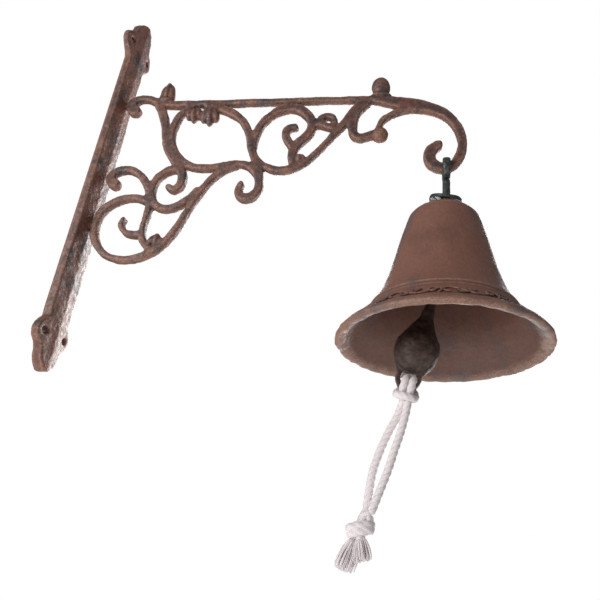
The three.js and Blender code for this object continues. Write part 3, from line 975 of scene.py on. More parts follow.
@dataclass
class Hanger:
    """What is fixed to the eye bolt; z = 0 at the middle of the hook."""

    wire: float = 4.6
    eye_inner: float = 5.0
    eye_wire: float = 2.5
    eye_middle: float = -1.3
    shank_end: float = -47.0
    thread_top: float = -31.0
    thread_pitch: float = 0.9
    # radius, thickness, middle height and offset along X
    washer: tuple[float, float, float, float] = (9.5, 2.3, -25.6, -0.6)
    askew: tuple[float, float] = (5.0, 8.0)  # degrees that lower its hook side and its -Y side
    saddle: float = 2.4  # how far the washer's end at the wall side is bent up
    inner_washer: tuple[float, float, float] = (7.5, -36.3, -37.7)  # radius, top and bottom
    nut: tuple[float, float, float] = (9.0, -38.0, -42.5)  # width across flats, top and bottom
    barrel: tuple[float, float, float] = (4.4, -42.8, -50.0)  # radius, top and bottom
    lower_eye: tuple[float, float, float] = (3.6, 2.6, -55.2)  # inner radius, wire and middle

    def bolt(self) -> Shape:
        """Bends the eye bolt from one wire, flattened where it goes over the hook."""
        mid = self.eye_inner + self.eye_wire / 2
        centre = self.eye_middle
        line = []
        z = self.shank_end
        while z < centre - mid - 4.5:
            line.append(Vector((0, 0, z)))
            z += self.thread_pitch / 4
        shank = len(line)
        joint = [Vector((0, 0.3, centre - mid - 3)), Vector((0, 1.5, centre - mid - 0.9))]
        first, last = -64, 262
        for k in range(41):
            angle = math.radians(first + (last - first) * k / 40)
            joint.append(Vector((0, mid * math.cos(angle), centre + mid * math.sin(angle))))
        line += [Vector(row) for row in smooth_line([line[-1], *joint], 0.7)[1:]]
        full, flat = self.wire / 2, self.eye_wire / 2

        def section(i: int) -> list[tuple[float, float]]:
            """Gives the round, threaded or flattened wire at a step."""
            if i < shank:
                height = line[i].z
                cut = 0.16 * (1 + math.cos(2 * math.pi * height / self.thread_pitch)) / 2
                r = full - (cut if height < self.thread_top else 0)
                return oval(r, r, 24)
            share = min(1.0, (i - shank) / 9)
            return oval(full, full + (flat - full) * share, 24, 2 + 0.5 * share)

        return sweep(line, section, Vector((1, 0, 0)))

    def disc(self, radius: float, thick: float, hole: float, middle: float) -> Shape:
        """Makes a washer with eased edges."""
        h, ease = thick / 2, 0.35
        profile = [(hole, middle + h), (hole + ease, middle + h)]
        profile += [(radius * k / 5 + hole * (1 - k / 5), middle + h) for k in range(1, 5)]
        profile += [(radius - ease, middle + h), (radius, middle + h - ease), (radius, middle - h + ease)]
        profile += [(radius - ease, middle - h), (hole, middle - h)]
        return lathe(profile, 72)

    def hexagon(self) -> Shape:
        """Makes the clamp nut, its corners turned off at both faces."""
        across, top, bottom = self.nut
        hole = self.wire / 2 + 0.35

        def flats(angle: float) -> float:
            """Gives the hexagon's radius at an angle, over half its width."""
            return 1 / math.cos((angle + math.pi / 6) % (math.pi / 3) - math.pi / 6)

        # height and the corners' reach over half the width; the bore's two rims have no corners
        rims = ((top, 1.0), (top - 0.35, 1.08), (top - 0.7, 1.2))
        rims += ((bottom + 0.7, 1.2), (bottom + 0.35, 1.08), (bottom, 1.0))
        rings = [(hole, top, None), *((across / 2, *rim) for rim in rims), (hole, bottom, None)]
        shape = Shape()
        segments = 72
        for radius, height, limit in rings:
            for k in range(segments):
                angle = 2 * math.pi * k / segments
                r = radius if limit is None else radius * min(flats(angle), limit)
                shape.points.append(Vector((r * math.cos(angle), r * math.sin(angle), height)))
        for i in range(len(rings)):
            low, high = i * segments, (i + 1) % len(rings) * segments
            for k in range(segments):
                nxt = (k + 1) % segments
                shape.faces.append((low + k, low + nxt, high + nxt, high + k))
        return shape

    def eye_nut(self) -> Shape:
        """Makes the socket and the eye under it as overlapping solids."""
        radius, top, bottom = self.barrel
        inner, wire, middle = self.lower_eye
        ring = torus(inner + wire / 2, wire / 2, Vector((0, 0, middle)), Vector((1, 0, 0)))
        profile = [(0, top), (radius - 0.5, top), (radius, top - 0.6), (radius, bottom + 1.6)]
        profile += [(radius - 0.7, bottom + 0.5), (radius - 1.9, bottom - 0.2), (0, bottom - 0.2)]
        return lathe(profile, 40).add(ring)

    def build(self, axes: Axes, finishes: Finishes) -> list[bpy.types.Object]:
        """Makes and dresses every part on the bolt.

        Args:
            axes: The hanging frames.
            finishes: The materials.

        Returns:
            The objects.
        """
        made = []

        def place(name: str, shape: Shape, node: str, rough: float) -> None:
            """Puts one steel part on the bolt."""
            obj = shape.moved(axes.hang).to_object(name)
            if rough:
                roughen(obj, rough, 3.2)
            mark_hollows(obj, 4, 0.25)
            made.append(Piece(obj, Body.HANGER, Slot.STEEL, finishes.steel, (node,)).dress(38))

        radius, thick, middle, offset = self.washer
        tilt, nod = (math.radians(angle) for angle in self.askew)
        turned = Matrix.Rotation(nod, 4, "X") @ Matrix.Rotation(tilt, 4, "Y")
        slant = Matrix.Translation((offset, 0, middle)) @ turned
        place("eye_bolt_wire", self.bolt(), "eye_bolt", 0.08)
        disc = self.disc(radius, thick, self.wire / 2 + 0.9, 0)
        for point in disc.points:
            point.z += self.saddle * (point.x / radius) ** 2 * (1 if point.x < 0 else 0.75)
        disc = disc.moved(slant)
        place("crown_washer_disc", disc, "crown_washer", 0.3)
        radius, top, bottom = self.inner_washer
        under = self.disc(radius, top - bottom, self.wire / 2 + 0.3, (top + bottom) / 2)
        place("inner_washer_disc", under, "inner_washer", 0.1)
        place("clamp_nut_hexagon", self.hexagon(), "clamp_nut", 0)
        socket = fused(self.eye_nut().moved(axes.hang), "eye_nut_socket", 0.32, 3)
        roughen(socket, 0.1, 2.4)
        mark_hollows(socket, 8, 0.3)
        made.append(Piece(socket, Body.HANGER, Slot.IRON, finishes.iron, ("eye_nut",)).dress())
        return made


def torus(
    radius: float,
    wire: float,
    centre: Vector,
    axis: Vector,
    count: int = 64,
    sides: int = 18,
) -> Shape:
    """Makes a ring of round wire.

    Args:
        radius: To the middle of the wire.
        wire: The wire's own radius.
        centre: The ring's middle.
        axis: The direction that the ring faces.
        count: Steps round the ring.
        sides: Steps round the wire.

    Returns:
        The ring.
    """
    across = axis.orthogonal().normalized()
    other = axis.normalized().cross(across)
    angles = [2 * math.pi * k / count for k in range(count)]
    line = [centre + (across * math.cos(t) + other * math.sin(t)) * radius for t in angles]
    return sweep(line, lambda i: oval(wire, wire, sides), axis, closed=True)


# ---- bell ----


@dataclass
class BellShell:
    """The bell: a rough cast crown, a flared skirt with raised lines and a leaf-scroll band."""

    bore: float = 4.1
    offset: float = -1.4
    boss: float = -28.2
    outside: tuple[tuple[float, float], ...] = (
        (6.5, -28.2), (9.4, -31.4), (12.8, -32.4), (14.4, -33.4), (15.2, -35), (17.6, -36),
        (19.8, -38.4), (21.3, -42.2), (22.4, -46.4),
        (24.8, -56), (27.9, -69), (31.2, -80.5), (34.4, -89), (38.6, -96.4), (40, -99.4), (45, -105.4),
        (50.4, -109.8), (53.6, -112.2), (54.9, -113.9), (54.3, -115.1),
    )  # fmt: skip
    inside: tuple[tuple[float, float], ...] = (
        (53.2, -115.4), (51.2, -115.1), (49.6, -114), (44.6, -108.6), (39.4, -103), (34.8, -96.6), (31, -89),
        (27.8, -80), (24.4, -68.6), (21.4, -56), (18.9, -46), (16.6, -41), (13.4, -38.6), (10, -36),
        (4.1, -36),
    )  # fmt: skip
    # height, rise and half width of each raised line round the bell
    beads: tuple[tuple[float, float, float], ...] = (
        (-38.6, 0.2, 0.4), (-96.2, 0.7, 0.6), (-98.4, 0.4, 0.5), (-110.9, 0.5, 0.5), (-112.2, 0.3, 0.4),
    )  # fmt: skip
    segments: int = 240
    band_radius: float = 45.4
    band_height: float = -104.9
    band_repeats: int = 22
    band_relief: float = 0.5

    def profile(self) -> list[tuple[float, float]]:
        """Gives the wall's outline, with the beads raised from it."""
        outer = smooth_line(self.outside, 0.75, 2)
        inner = smooth_line(self.inside, 1.6, 2)
        rows = []
        for i, (radius, height) in enumerate(outer):
            before, after = outer[max(i - 1, 0)], outer[min(i + 1, len(outer) - 1)]
            way = (after - before) / np.linalg.norm(after - before)
            rise = sum(h * math.exp(-(((height - z) / w) ** 2)) for z, h, w in self.beads)
            rows.append((radius - way[1] * rise, height + way[0] * rise))
        top = [(radius, self.boss) for radius in (self.bore, 5.2)]
        return [*top, *rows, *[tuple(row) for row in inner]]

    def shell(self, axes: Axes) -> bpy.types.Object:
        """Casts the wall and gives it its rough crown and lip."""
        place = axes.hang @ Matrix.Translation((self.offset, 0, 0))
        obj = lathe(self.profile(), self.segments).moved(place).to_object("bell_body")

        def height(co: np.ndarray) -> np.ndarray:
            """Gives each point's height on the bolt in millimetres."""
            back = np.array(place.inverted())
            return co @ back[2, :3] + back[2, 3]

        roughen(obj, 1.3, 3.4, lambda co: np.clip((height(co) + 37) / 2, 0, 1))
        roughen(obj, 0.5, 5.0, lambda co: np.clip((-112.5 - height(co)) / 1.5, 0, 1))
        roughen(obj, 0.22, 9.0)
        # marks the inner wall, which the bell's finish darkens as painted shade
        axis = np.array(place.translation) * MM
        co = coordinates(obj.data)
        inward = -((co - axis) * normals(obj.data))[:, :2].sum(axis=1)
        layer = obj.data.attributes.new("inside", "FLOAT", "POINT")
        layer.data.foreach_set("value", (inward > 0).astype(np.float32))
        return obj

    def band_tree(self, material: bpy.types.Material) -> bpy.types.NodeTree:
        """Builds the node tree of the leaf-scroll band.

        The scrolls are laid out flat, x round the bell, y up the flare and z off it, and then
        wrapped on the cone.

        Args:
            material: The band's material.

        Returns:
            The tree.
        """
        tree = bpy.data.node_groups.new("leaf_scroll_band", "GeometryNodeTree")
        face = tree.interface
        face.new_socket("Geometry", in_out="INPUT", socket_type="NodeSocketGeometry")
        for name, kind in (
            ("Repeats", "NodeSocketInt"),
            ("Radius", "NodeSocketFloat"),
            ("Height", "NodeSocketFloat"),
            ("Relief", "NodeSocketFloat"),
        ):
            face.new_socket(name, in_out="INPUT", socket_type=kind)
        face.new_socket("Geometry", in_out="OUTPUT", socket_type="NodeSocketGeometry")
        given = add(tree, "NodeGroupInput")
        radius, high, relief, repeats = (given.outputs[n] for n in ("Radius", "Height", "Relief", "Repeats"))

        def calc(operation: str, first: object, second: object = 0.0) -> bpy.types.NodeSocket:
            """Does one sum."""
            return add(tree, "ShaderNodeMath", {0: first, 1: second}, operation=operation).outputs[0]

        girth = calc("MULTIPLY", radius, 2 * math.pi)
        pitch = calc("DIVIDE", girth, repeats)
        wire = add(tree, "GeometryNodeCurvePrimitiveCircle", {"Resolution": 8, "Radius": relief})
        # one curling leaf: a flat spiral whose wire thins towards its eye
        spiral = add(
            tree,
            "GeometryNodeCurveSpiral",
            {"Resolution": 26, "Rotations": 1.15, "Start Radius": 0.7 * MM, "End Radius": 3.9 * MM,
             "Height": 0.0},
        )
        along = add(tree, "GeometryNodeSplineParameter").outputs["Factor"]
        taper = add(
            tree,
            "GeometryNodeSetCurveRadius",
            {"Curve": spiral, "Radius": calc("ADD", calc("MULTIPLY", along, 0.9), 0.5)},
        )
        leaf = add(
            tree,
            "GeometryNodeCurveToMesh",
            {"Curve": taper, "Profile Curve": wire.outputs["Curve"], "Fill Caps": True},
        )
        # leaflets beside each spiral
        blade = add(tree, "GeometryNodeMeshUVSphere", {"Segments": 12, "Rings": 8, "Radius": 1.0})
        petal = add(
            tree,
            "GeometryNodeTransform",
            {"Geometry": blade, "Scale": (2.6 * MM, 1.0 * MM, 0.5 * MM), "Rotation": (0, 0, 0.6),
             "Translation": (4.6 * MM, 2.6 * MM, 0)},
        )
        second = add(
            tree,
            "GeometryNodeTransform",
            {"Geometry": blade, "Scale": (2.2 * MM, 0.8 * MM, 0.45 * MM), "Rotation": (0, 0, -0.7),
             "Translation": (5.6 * MM, -1.4 * MM, 0)},
        )
        motif = add(tree, "GeometryNodeJoinGeometry")
        for part in (leaf, petal, second):
            tree.links.new(part.outputs[0], motif.inputs[0])
        gap = add(tree, "ShaderNodeCombineXYZ", {0: pitch})
        row = add(tree, "GeometryNodeMeshLine", {"Count": repeats, "Offset": gap}, mode="OFFSET")
        odd = calc("MODULO", add(tree, "GeometryNodeInputIndex").outputs[0], 2.0)
        side = calc("SUBTRACT", 1.0, calc("MULTIPLY", odd, 2.0))
        flip = add(tree, "ShaderNodeCombineXYZ", {0: 1.0, 1: side, 2: 1.0})
        placed = add(tree, "GeometryNodeInstanceOnPoints", {"Points": row, "Instance": motif, "Scale": flip})
        loose = add(tree, "GeometryNodeRealizeInstances", {"Geometry": placed})
        # the vine that runs in waves between the spirals
        vine_row = add(
            tree,
            "GeometryNodeMeshLine",
            {"Count": 361, "Offset": add(tree, "ShaderNodeCombineXYZ", {0: calc("DIVIDE", girth, 360.0)})},
            mode="OFFSET",
        )
        at = add(tree, "ShaderNodeSeparateXYZ", {0: add(tree, "GeometryNodeInputPosition")})
        wave = calc("SINE", calc("MULTIPLY", calc("DIVIDE", at.outputs[0], pitch), math.pi))
        bent = add(
            tree,
            "GeometryNodeSetPosition",
            {"Geometry": vine_row,
             "Offset": add(tree, "ShaderNodeCombineXYZ", {1: calc("MULTIPLY", wave, 3.4 * MM)})},
        )
        vine_line = add(tree, "GeometryNodeMeshToCurve", {"Mesh": bent})
        vine = add(
            tree,
            "GeometryNodeCurveToMesh",
            {"Curve": vine_line, "Profile Curve": wire.outputs["Curve"], "Fill Caps": True},
        )
        flat = add(tree, "GeometryNodeJoinGeometry")
        for part in (loose, vine):
            tree.links.new(part.outputs[0], flat.inputs[0])
        # wrap on the flare, which slopes at 45 degrees: y runs up it and z stands off it
        spot = add(tree, "ShaderNodeSeparateXYZ", {0: add(tree, "GeometryNodeInputPosition")})
        turn = calc("DIVIDE", spot.outputs[0], radius)
        slope = math.sqrt(0.5)
        off, up = calc("MULTIPLY", spot.outputs[2], slope), calc("MULTIPLY", spot.outputs[1], slope)
        reach = calc("ADD", radius, calc("SUBTRACT", off, up))
        rise = calc("ADD", high, calc("ADD", off, up))
        x = calc("MULTIPLY", reach, calc("COSINE", turn))
        y = calc("MULTIPLY", reach, calc("SINE", turn))
        wrapped = add(tree, "ShaderNodeCombineXYZ", {0: x, 1: y, 2: rise})
        on_bell = add(tree, "GeometryNodeSetPosition", {"Geometry": flat, "Position": wrapped})
        real = add(tree, "GeometryNodeRealizeInstances", {"Geometry": on_bell})
        dressed = add(tree, "GeometryNodeSetMaterial", {"Geometry": real, "Material": material})
        add(tree, "NodeGroupOutput", {"Geometry": dressed})
        return tree

    def band(self, axes: Axes, material: bpy.types.Material) -> bpy.types.Object:
        """Lays the leaf-scroll band round the flare.

        Args:
            axes: The hanging frames.
            material: Its material.

        Returns:
            The band.
        """
        obj = bpy.data.objects.new("bell_scroll_band", bpy.data.meshes.new("bell_scroll_band"))
        bpy.context.scene.collection.objects.link(obj)
        modifier = obj.modifiers.new("band", "NODES")
        modifier.node_group = self.band_tree(material)
        values = {
            "Repeats": self.band_repeats,
            "Radius": self.band_radius * MM,
            "Height": self.band_height * MM,
            "Relief": self.band_relief * MM,
        }
        for item in modifier.node_group.interface.items_tree:
            if item.in_out == "INPUT" and item.name in values:
                modifier[item.identifier] = values[item.name]
        baked(obj)
        place = axes.hang @ Matrix.Translation((self.offset, 0, 0))
        metres = Matrix.Scale(MM, 4) @ place @ Matrix.Scale(1 / MM, 4)
        obj.data.transform(metres)
        return obj

    def build(self, axes: Axes, finishes: Finishes) -> list[bpy.types.Object]:
        """Makes and dresses the bell.

        Args:
            axes: The hanging frames.
            finishes: The materials.

        Returns:
            The wall and its band.
        """
        shell = self.shell(axes)
        mark_hollows(shell, 6, 0.4)
        wall = Piece(shell, Body.BELL, Slot.BELL, finishes.bell, ("bell_shell",)).dress()
        band = self.band(axes, finishes.bell)
        mark_hollows(band, 3, 0.5)
        return [wall, Piece(band, Body.BELL, Slot.BELL, finishes.bell).dress()]


# ---- clapper ----


@dataclass
class Clapper:
    """Link and clapper; z = 0 at the wire that the link hangs on."""

    # inner radius, wire and middle height of each ring
    link: tuple[float, float, float] = (4.5, 2.4, -2.9)
    eye: tuple[float, float, float] = (3.4, 2.6, -10.5)
    bulb_middle: float = -58.7
    bulb_radius: float = 11.6
    tail_half: float = 6.4
    tail_thick: float = 3.6
    hole: float = -73.4
    hole_radius: float = 3.9
    tail_end: float = -80.3

    def casting(self) -> Shape:
        """Gives the eye, the pear-shaped striker and its flat pierced tail."""
        inner, wire, middle = self.eye
        ring = torus(inner + wire / 2, wire / 2, Vector((0, 0, middle)), Vector((1, 0, 0)))
        b, r = self.bulb_middle, self.bulb_radius
        top = middle - inner - wire / 2
        profile = [(0, top), (2.5, top), (2.7, b + 26), (3.6, b + 19), (5.4, b + 14.4)]
        profile += [(7.7, b + 10.4), (9.8, b + 6.6)]
        for k in range(15):
            angle = math.radians(26 - 114 * k / 14)
            profile.append((r * math.cos(angle), b + 1.05 * r * math.sin(angle)))
        profile.append((0, b - 1.05 * r))
        w, end, high = self.tail_half, self.tail_end, self.hole + 2
        outline = [(-10.4, b - 0.2 * r), (-9.6, b - 0.62 * r), (-7.6, b - 0.95 * r), (-w, high)]
        for k in range(1, 20):
            angle = math.pi * k / 20
            outline.append((-w * math.cos(angle), high - (high - end) * math.sin(angle) ** 0.8))
        outline += [(w, high), (7.2, b - 0.95 * r), (8.8, b - 0.7 * r), (10.4, b - 0.3 * r)]
        half = self.tail_thick / 2

        def depth(point: Point) -> float:
            """Gives half the tail's thickness, more where it leaves the striker."""
            return half + max(0.0, point[1] - self.hole - self.hole_radius) * 0.42

        tab = prism([outline, circle(0, self.hole, self.hole_radius)], lambda p: -depth(p), depth)
        upright = Matrix(((1, 0, 0, 0), (0, 0, 1, 0), (0, 1, 0, 0), (0, 0, 0, 1)))
        return lathe(profile, 48).add(ring, tab.moved(upright))

    def build(self, axes: Axes, finishes: Finishes) -> list[bpy.types.Object]:
        """Makes and dresses the link and the clapper.

        Args:
            axes: The hanging frames.
            finishes: The materials.

        Returns:
            The objects.
        """
        inner, wire, middle = self.link
        ring = torus(inner + wire / 2, wire / 2, Vector((0, 0, middle)), Vector((0, 1, 0)))
        link = ring.moved(axes.swing).to_object("link_ring")
        roughen(link, 0.14, 2.6)
        mark_hollows(link, 4, 0.25)
        link = Piece(link, Body.LINK, Slot.IRON, finishes.iron, ("clapper_link",)).dress()
        striker = fused(self.casting().moved(axes.swing), "clapper_striker", 0.42, 4)
        roughen(striker, 0.5, 5.0)
        roughen(striker, 0.22, 1.7)
        mark_hollows(striker, 12, 0.5)
        striker = Piece(striker, Body.CLAPPER, Slot.IRON, finishes.iron, ("clapper",)).dress()
        return [link, striker]


# ---- cord ----


@dataclass
class CottonCord:
    """A three-strand cotton cord, doubled through the tail, knotted, and frayed below the knot."""

    diameter: float = 3.6
    lay: float = 9.5  # length of one full turn of the strands
    left: tuple[tuple[float, float, float], ...] = (
        (184.4, 1.3, -144.4), (182.2, 1.5, -150), (177.8, 1.6, -158), (174.2, 1.7, -166),
        (171, 1.8, -175), (169.2, 1.9, -185), (168.2, 2, -193.8),
    )  # fmt: skip
    right: tuple[tuple[float, float, float], ...] = (
        (187.4, -2.6, -144.4), (186.2, -2.4, -150), (184, -2.2, -158), (181.2, -2.1, -166),
        (178.2, -2, -175), (174.2, -2, -185), (170.6, -2, -193.8),
    )  # fmt: skip
    knot: tuple[float, float, float] = (166.0, 0.0, -199.0)
    knot_tilt: float = 14.0
    hairs: int = 230  # in each frayed end
    hair_disc: float = 1.9
    hair_radius: float = 0.24  # coarser than cotton, so that it shows
    hair_spread: float = 0.2  # lean of the outermost hairs, in radians
    hollow_depth: float = 0.22
    fray_hollow_depth: float = 0.9

    def rope(self, line: Sequence[Point], taper: float = 1.0) -> Shape:
        """Lays three twisted strands along a line.

        Args:
            line: The points to follow.
            taper: The diameter's share at the far end.

        Returns:
            The rope's skin.
        """
        rows = smooth_line(line, 0.55)
        path = [Vector(row) for row in rows]
        step = (path[1] - path[0]).length
        sides = 24

        def section(i: int) -> list[tuple[float, float]]:
            """Gives the three-lobed section, turned by the lay."""
            turn = 2 * math.pi * i * step / self.lay
            size = self.diameter / 2 * (1 + (taper - 1) * i / (len(path) - 1))
            if i in (0, len(path) - 1):
                size *= 0.72
            points = []
            for k in range(sides):
                angle = 2 * math.pi * k / sides
                lobe = abs(math.cos(1.5 * (angle - turn)))
                r = size * (0.9 + 0.2 * lobe**0.8)
                points.append((r * math.cos(angle), r * math.sin(angle)))
            return points

        return sweep(path, section, Vector((0.2, 1, 0.1)))

    def hitch(self, axes: Axes, clapper: Clapper) -> Shape:
        """Ties the lark's head through the tail: two legs down its front, the bight round both."""
        hole, end = clapper.hole, clapper.tail_end
        front = clapper.tail_thick / 2 + self.diameter / 2 + 0.1
        shape = Shape()
        for side in (-1, 1):
            x = 1.2 + side * 1.85
            leg = [(x, 1.2, hole - 1.4), (x, -1.8, hole - 0.6), (x, -front, hole - 2.6),
                   (x, -front, hole - 5.6), (x, -front + 0.6, end - 0.6),
                   (2.1 + side * 1.5, -1.2, end - 3.4),
                   (2.1 + side * 1.4, -0.65 - side * 1.95, end - 6.9)]
            shape.add(self.rope(leg))
        bight = []
        for side in (-1, 1):
            x = 1.2 + side * 1.8
            wide = 1.2 + side * 4.3
            half = [(x, 0.4, hole - 1.6), (x, 3.2, hole - 1.4), (x + side * 0.6, front + 0.1, hole - 4.2),
                    (wide, front - 0.5, end + 0.4), (wide + side * 0.3, 0.6, end - 2.0),
                    (wide - side * 0.7, -3.0, end - 3.1), (1.2 + side * 1.6, -4.3, end - 3.3)]
            bight += half if side < 0 else reversed(half)
        shape.add(self.rope(bight))
        return shape.moved(axes.swing)

    def knotted(self) -> Shape:
        """Winds the knot: two turns round both runs, with a filled middle."""
        shape = Shape()
        turn = Matrix.Translation(Vector(self.knot)) @ Matrix.Rotation(-math.radians(self.knot_tilt), 4, "Y")
        wind = []
        for k in range(47):
            t = k / 46
            angle = 2 * math.pi * (2.1 * t) - 0.8
            wind.append((4.7 * math.cos(angle), 3.2 * math.sin(angle), 2.3 - 4.9 * t))
        shape.add(self.rope(wind))
        join = turn.inverted()
        overlap = Vector((0, 0, 1))
        left = [join @ Vector(self.left[-1]) + overlap, (1.2, 1.4, 3.2), (0.2, 0.8, 0)]
        left.append((-1.4, 0.8, -3.2))
        right = [join @ Vector(self.right[-1]) + overlap, (2.2, -1.4, 3.2), (1.2, -0.8, 0)]
        right.append((0.6, -1.2, -3.4))
        shape.add(self.rope(left), self.rope(right), ellipsoid((0, 0, -0.2), (4.2, 2.8, 3.2)))
        return shape.moved(turn)

    def fray_tree(self, material: bpy.types.Material) -> bpy.types.NodeTree:
        """Builds the node tree of one frayed end: bent hairs that spread from a small disc.

        Args:
            material: The hairs' material.

        Returns:
            The tree.
        """
        tree = bpy.data.node_groups.new("frayed_end", "GeometryNodeTree")
        face = tree.interface
        face.new_socket("Geometry", in_out="INPUT", socket_type="NodeSocketGeometry")
        for name, kind in (
            ("Hairs", "NodeSocketInt"),
            ("Disc", "NodeSocketFloat"),
            ("Length", "NodeSocketFloat"),
            ("Hair radius", "NodeSocketFloat"),
            ("Spread", "NodeSocketFloat"),
            ("Seed", "NodeSocketInt"),
        ):
            face.new_socket(name, in_out="INPUT", socket_type=kind)
        face.new_socket("Geometry", in_out="OUTPUT", socket_type="NodeSocketGeometry")
        given = add(tree, "NodeGroupInput")
        spread = given.outputs["Spread"]

        def chance(low: float, high: float, shift: int) -> bpy.types.NodeSocket:
            """Gives each hair its own number, unlike the others by the shift in its seed."""
            seed = add(tree, "ShaderNodeMath", {0: given.outputs["Seed"], 1: float(shift)}, operation="ADD")
            drawn = add(tree, "FunctionNodeRandomValue", {2: low, 3: high, "Seed": seed}, data_type="FLOAT")
            return drawn.outputs[1]

        disc = add(tree, "GeometryNodePoints", {"Count": given.outputs["Hairs"]})
        angle, reach = chance(0.0, 2 * math.pi, 1), chance(0.0, 1.0, 2)
        more = add(tree, "ShaderNodeMath", {0: reach, 1: 0.6}, operation="POWER")
        far = add(tree, "ShaderNodeMath", {0: more, 1: given.outputs["Disc"]}, operation="MULTIPLY")
        c = add(tree, "ShaderNodeMath", {0: angle}, operation="COSINE")
        s = add(tree, "ShaderNodeMath", {0: angle}, operation="SINE")
        x = add(tree, "ShaderNodeMath", {0: c, 1: far}, operation="MULTIPLY")
        y = add(tree, "ShaderNodeMath", {0: s, 1: far}, operation="MULTIPLY")
        spot = add(tree, "ShaderNodeCombineXYZ", {0: x, 1: y})
        spots = add(tree, "GeometryNodeSetPosition", {"Geometry": disc, "Position": spot})
        down = add(tree, "ShaderNodeMath", {0: given.outputs["Length"], 1: -1.0}, operation="MULTIPLY")
        lower = add(tree, "ShaderNodeMath", {0: given.outputs["Length"], 1: 0.16}, operation="MULTIPLY")
        halfway = add(tree, "ShaderNodeMath", {0: down, 1: 0.55}, operation="MULTIPLY")
        middle = add(tree, "ShaderNodeCombineXYZ", {0: lower, 2: halfway})
        tip = add(tree, "ShaderNodeCombineXYZ", {2: down})
        hair = add(
            tree,
            "GeometryNodeCurveQuadraticBezier",
            {"Resolution": 6, "Start": (0, 0, 0), "Middle": middle, "End": tip},
        )
        along = add(tree, "GeometryNodeSplineParameter").outputs["Factor"]
        thin = add(tree, "ShaderNodeMapRange", {"Value": along, "To Min": 1.0, "To Max": 0.45})
        tapered = add(tree, "GeometryNodeSetCurveRadius", {"Curve": hair, "Radius": thin})
        radius = given.outputs["Hair radius"]
        girth = add(tree, "GeometryNodeCurvePrimitiveCircle", {"Resolution": 5, "Radius": radius})
        strand = add(
            tree,
            "GeometryNodeCurveToMesh",
            {"Curve": tapered, "Profile Curve": girth.outputs["Curve"], "Fill Caps": True},
        )
        # each hair leans away from the middle, the outer ones most, and some a little astray
        out = add(tree, "ShaderNodeMath", {0: more, 1: spread}, operation="MULTIPLY")
        tilt = add(tree, "ShaderNodeMath", {0: chance(-0.12, 0.12, 3), 1: out}, operation="SUBTRACT")
        turn = add(tree, "ShaderNodeMath", {0: angle, 1: chance(-0.5, 0.5, 4)}, operation="ADD")
        pose = add(tree, "ShaderNodeCombineXYZ", {1: tilt, 2: turn})
        placed = add(
            tree,
            "GeometryNodeInstanceOnPoints",
            {"Points": spots, "Instance": strand, "Rotation": pose, "Scale": chance(0.6, 1.0, 5)},
        )
        real = add(tree, "GeometryNodeRealizeInstances", {"Geometry": placed})
        dressed = add(tree, "GeometryNodeSetMaterial", {"Geometry": real, "Material": material})
        add(tree, "NodeGroupOutput", {"Geometry": dressed})
        return tree

    def fray(
        self,
        name: str,
        top: Vector,
        way: Vector,
        seed: int,
        length: float,
        tree: bpy.types.NodeTree,
    ) -> Shape:
        """Grows one frayed end.

        Args:
            name: A name for the working object.
            top: Where the hairs start, in millimetres.
            way: The direction that they point.
            seed: The chance that sets them.
            length: The longest hair in millimetres.
            tree: The node tree.

        Returns:
            The hairs.
        """
        obj = bpy.data.objects.new(name, bpy.data.meshes.new(name))
        bpy.context.scene.collection.objects.link(obj)
        modifier = obj.modifiers.new("fray", "NODES")
        modifier.node_group = tree
        values = {
            "Hairs": self.hairs,
            "Disc": self.hair_disc * MM,
            "Length": length * MM,
            "Hair radius": self.hair_radius * MM,
            "Spread": self.hair_spread,
            "Seed": seed,
        }
        for item in tree.interface.items_tree:
            if item.in_out == "INPUT" and item.name in values:
                modifier[item.identifier] = values[item.name]
        baked(obj)
        turn = Vector((0, 0, -1)).rotation_difference(way).to_matrix().to_4x4()
        place = Matrix.Translation(top) @ turn @ Matrix.Scale(1 / MM, 4)
        shape = Shape(
            [place @ vertex.co for vertex in obj.data.vertices],
            [tuple(polygon.vertices) for polygon in obj.data.polygons],
        )
        bpy.data.objects.remove(obj)
        return shape

    def ends(self, material: bpy.types.Material) -> Shape:
        """Gives the two tails under the knot, each opened into hairs."""
        tree = self.fray_tree(material)
        shape = Shape()
        # three points down each tail, then its seed and its longest hair
        tails = (
            ((164.4, 0.6, -201.4), (163.8, 0.8, -203.4), (162.9, 1.0, -205.8), 11, 13.5),
            ((166.2, -1.2, -201.4), (166.4, -1.6, -203.4), (166.8, -1.8, -205.8), 23, 9.5),
        )
        for number, (*line, seed, length) in enumerate(tails):
            shape.add(self.rope(line, 1.12))
            way = (Vector(line[2]) - Vector(line[1])).normalized()
            start = Vector(line[2]) - way * 2.2
            shape.add(self.fray(f"fray_{number}", start, way, seed, length, tree))
        return shape

    def build(self, axes: Axes, clapper: Clapper, finishes: Finishes) -> list[bpy.types.Object]:
        """Args:
            axes: The hanging frames.
            clapper: The clapper that the cord is tied to.
            finishes: The materials.

        Returns:
            The objects.
        """
        parts = {
            "cord_left_run": (self.rope(self.left), ("cord_strand_left",)),
            "cord_right_run": (self.rope(self.right), ("cord_strand_right",)),
            "cord_hitch_turns": (self.hitch(axes, clapper), ("cord_hitch",)),
            "cord_knot_turns": (self.knotted(), ("cord_knot",)),
            "cord_frayed_ends": (self.ends(finishes.cotton), ("cord_end_left", "cord_end_right")),
        }
        made = {}
        for name, (shape, nodes) in parts.items():
            obj = shape.to_object(name)
            frayed = name == "cord_frayed_ends"
            mark_hollows(obj, 3, self.fray_hollow_depth if frayed else self.hollow_depth)
            made[name] = Piece(obj, Body.CLAPPER, Slot.COTTON, finishes.cotton, nodes).dress()
        return list(made.values())


# ---- stage ----


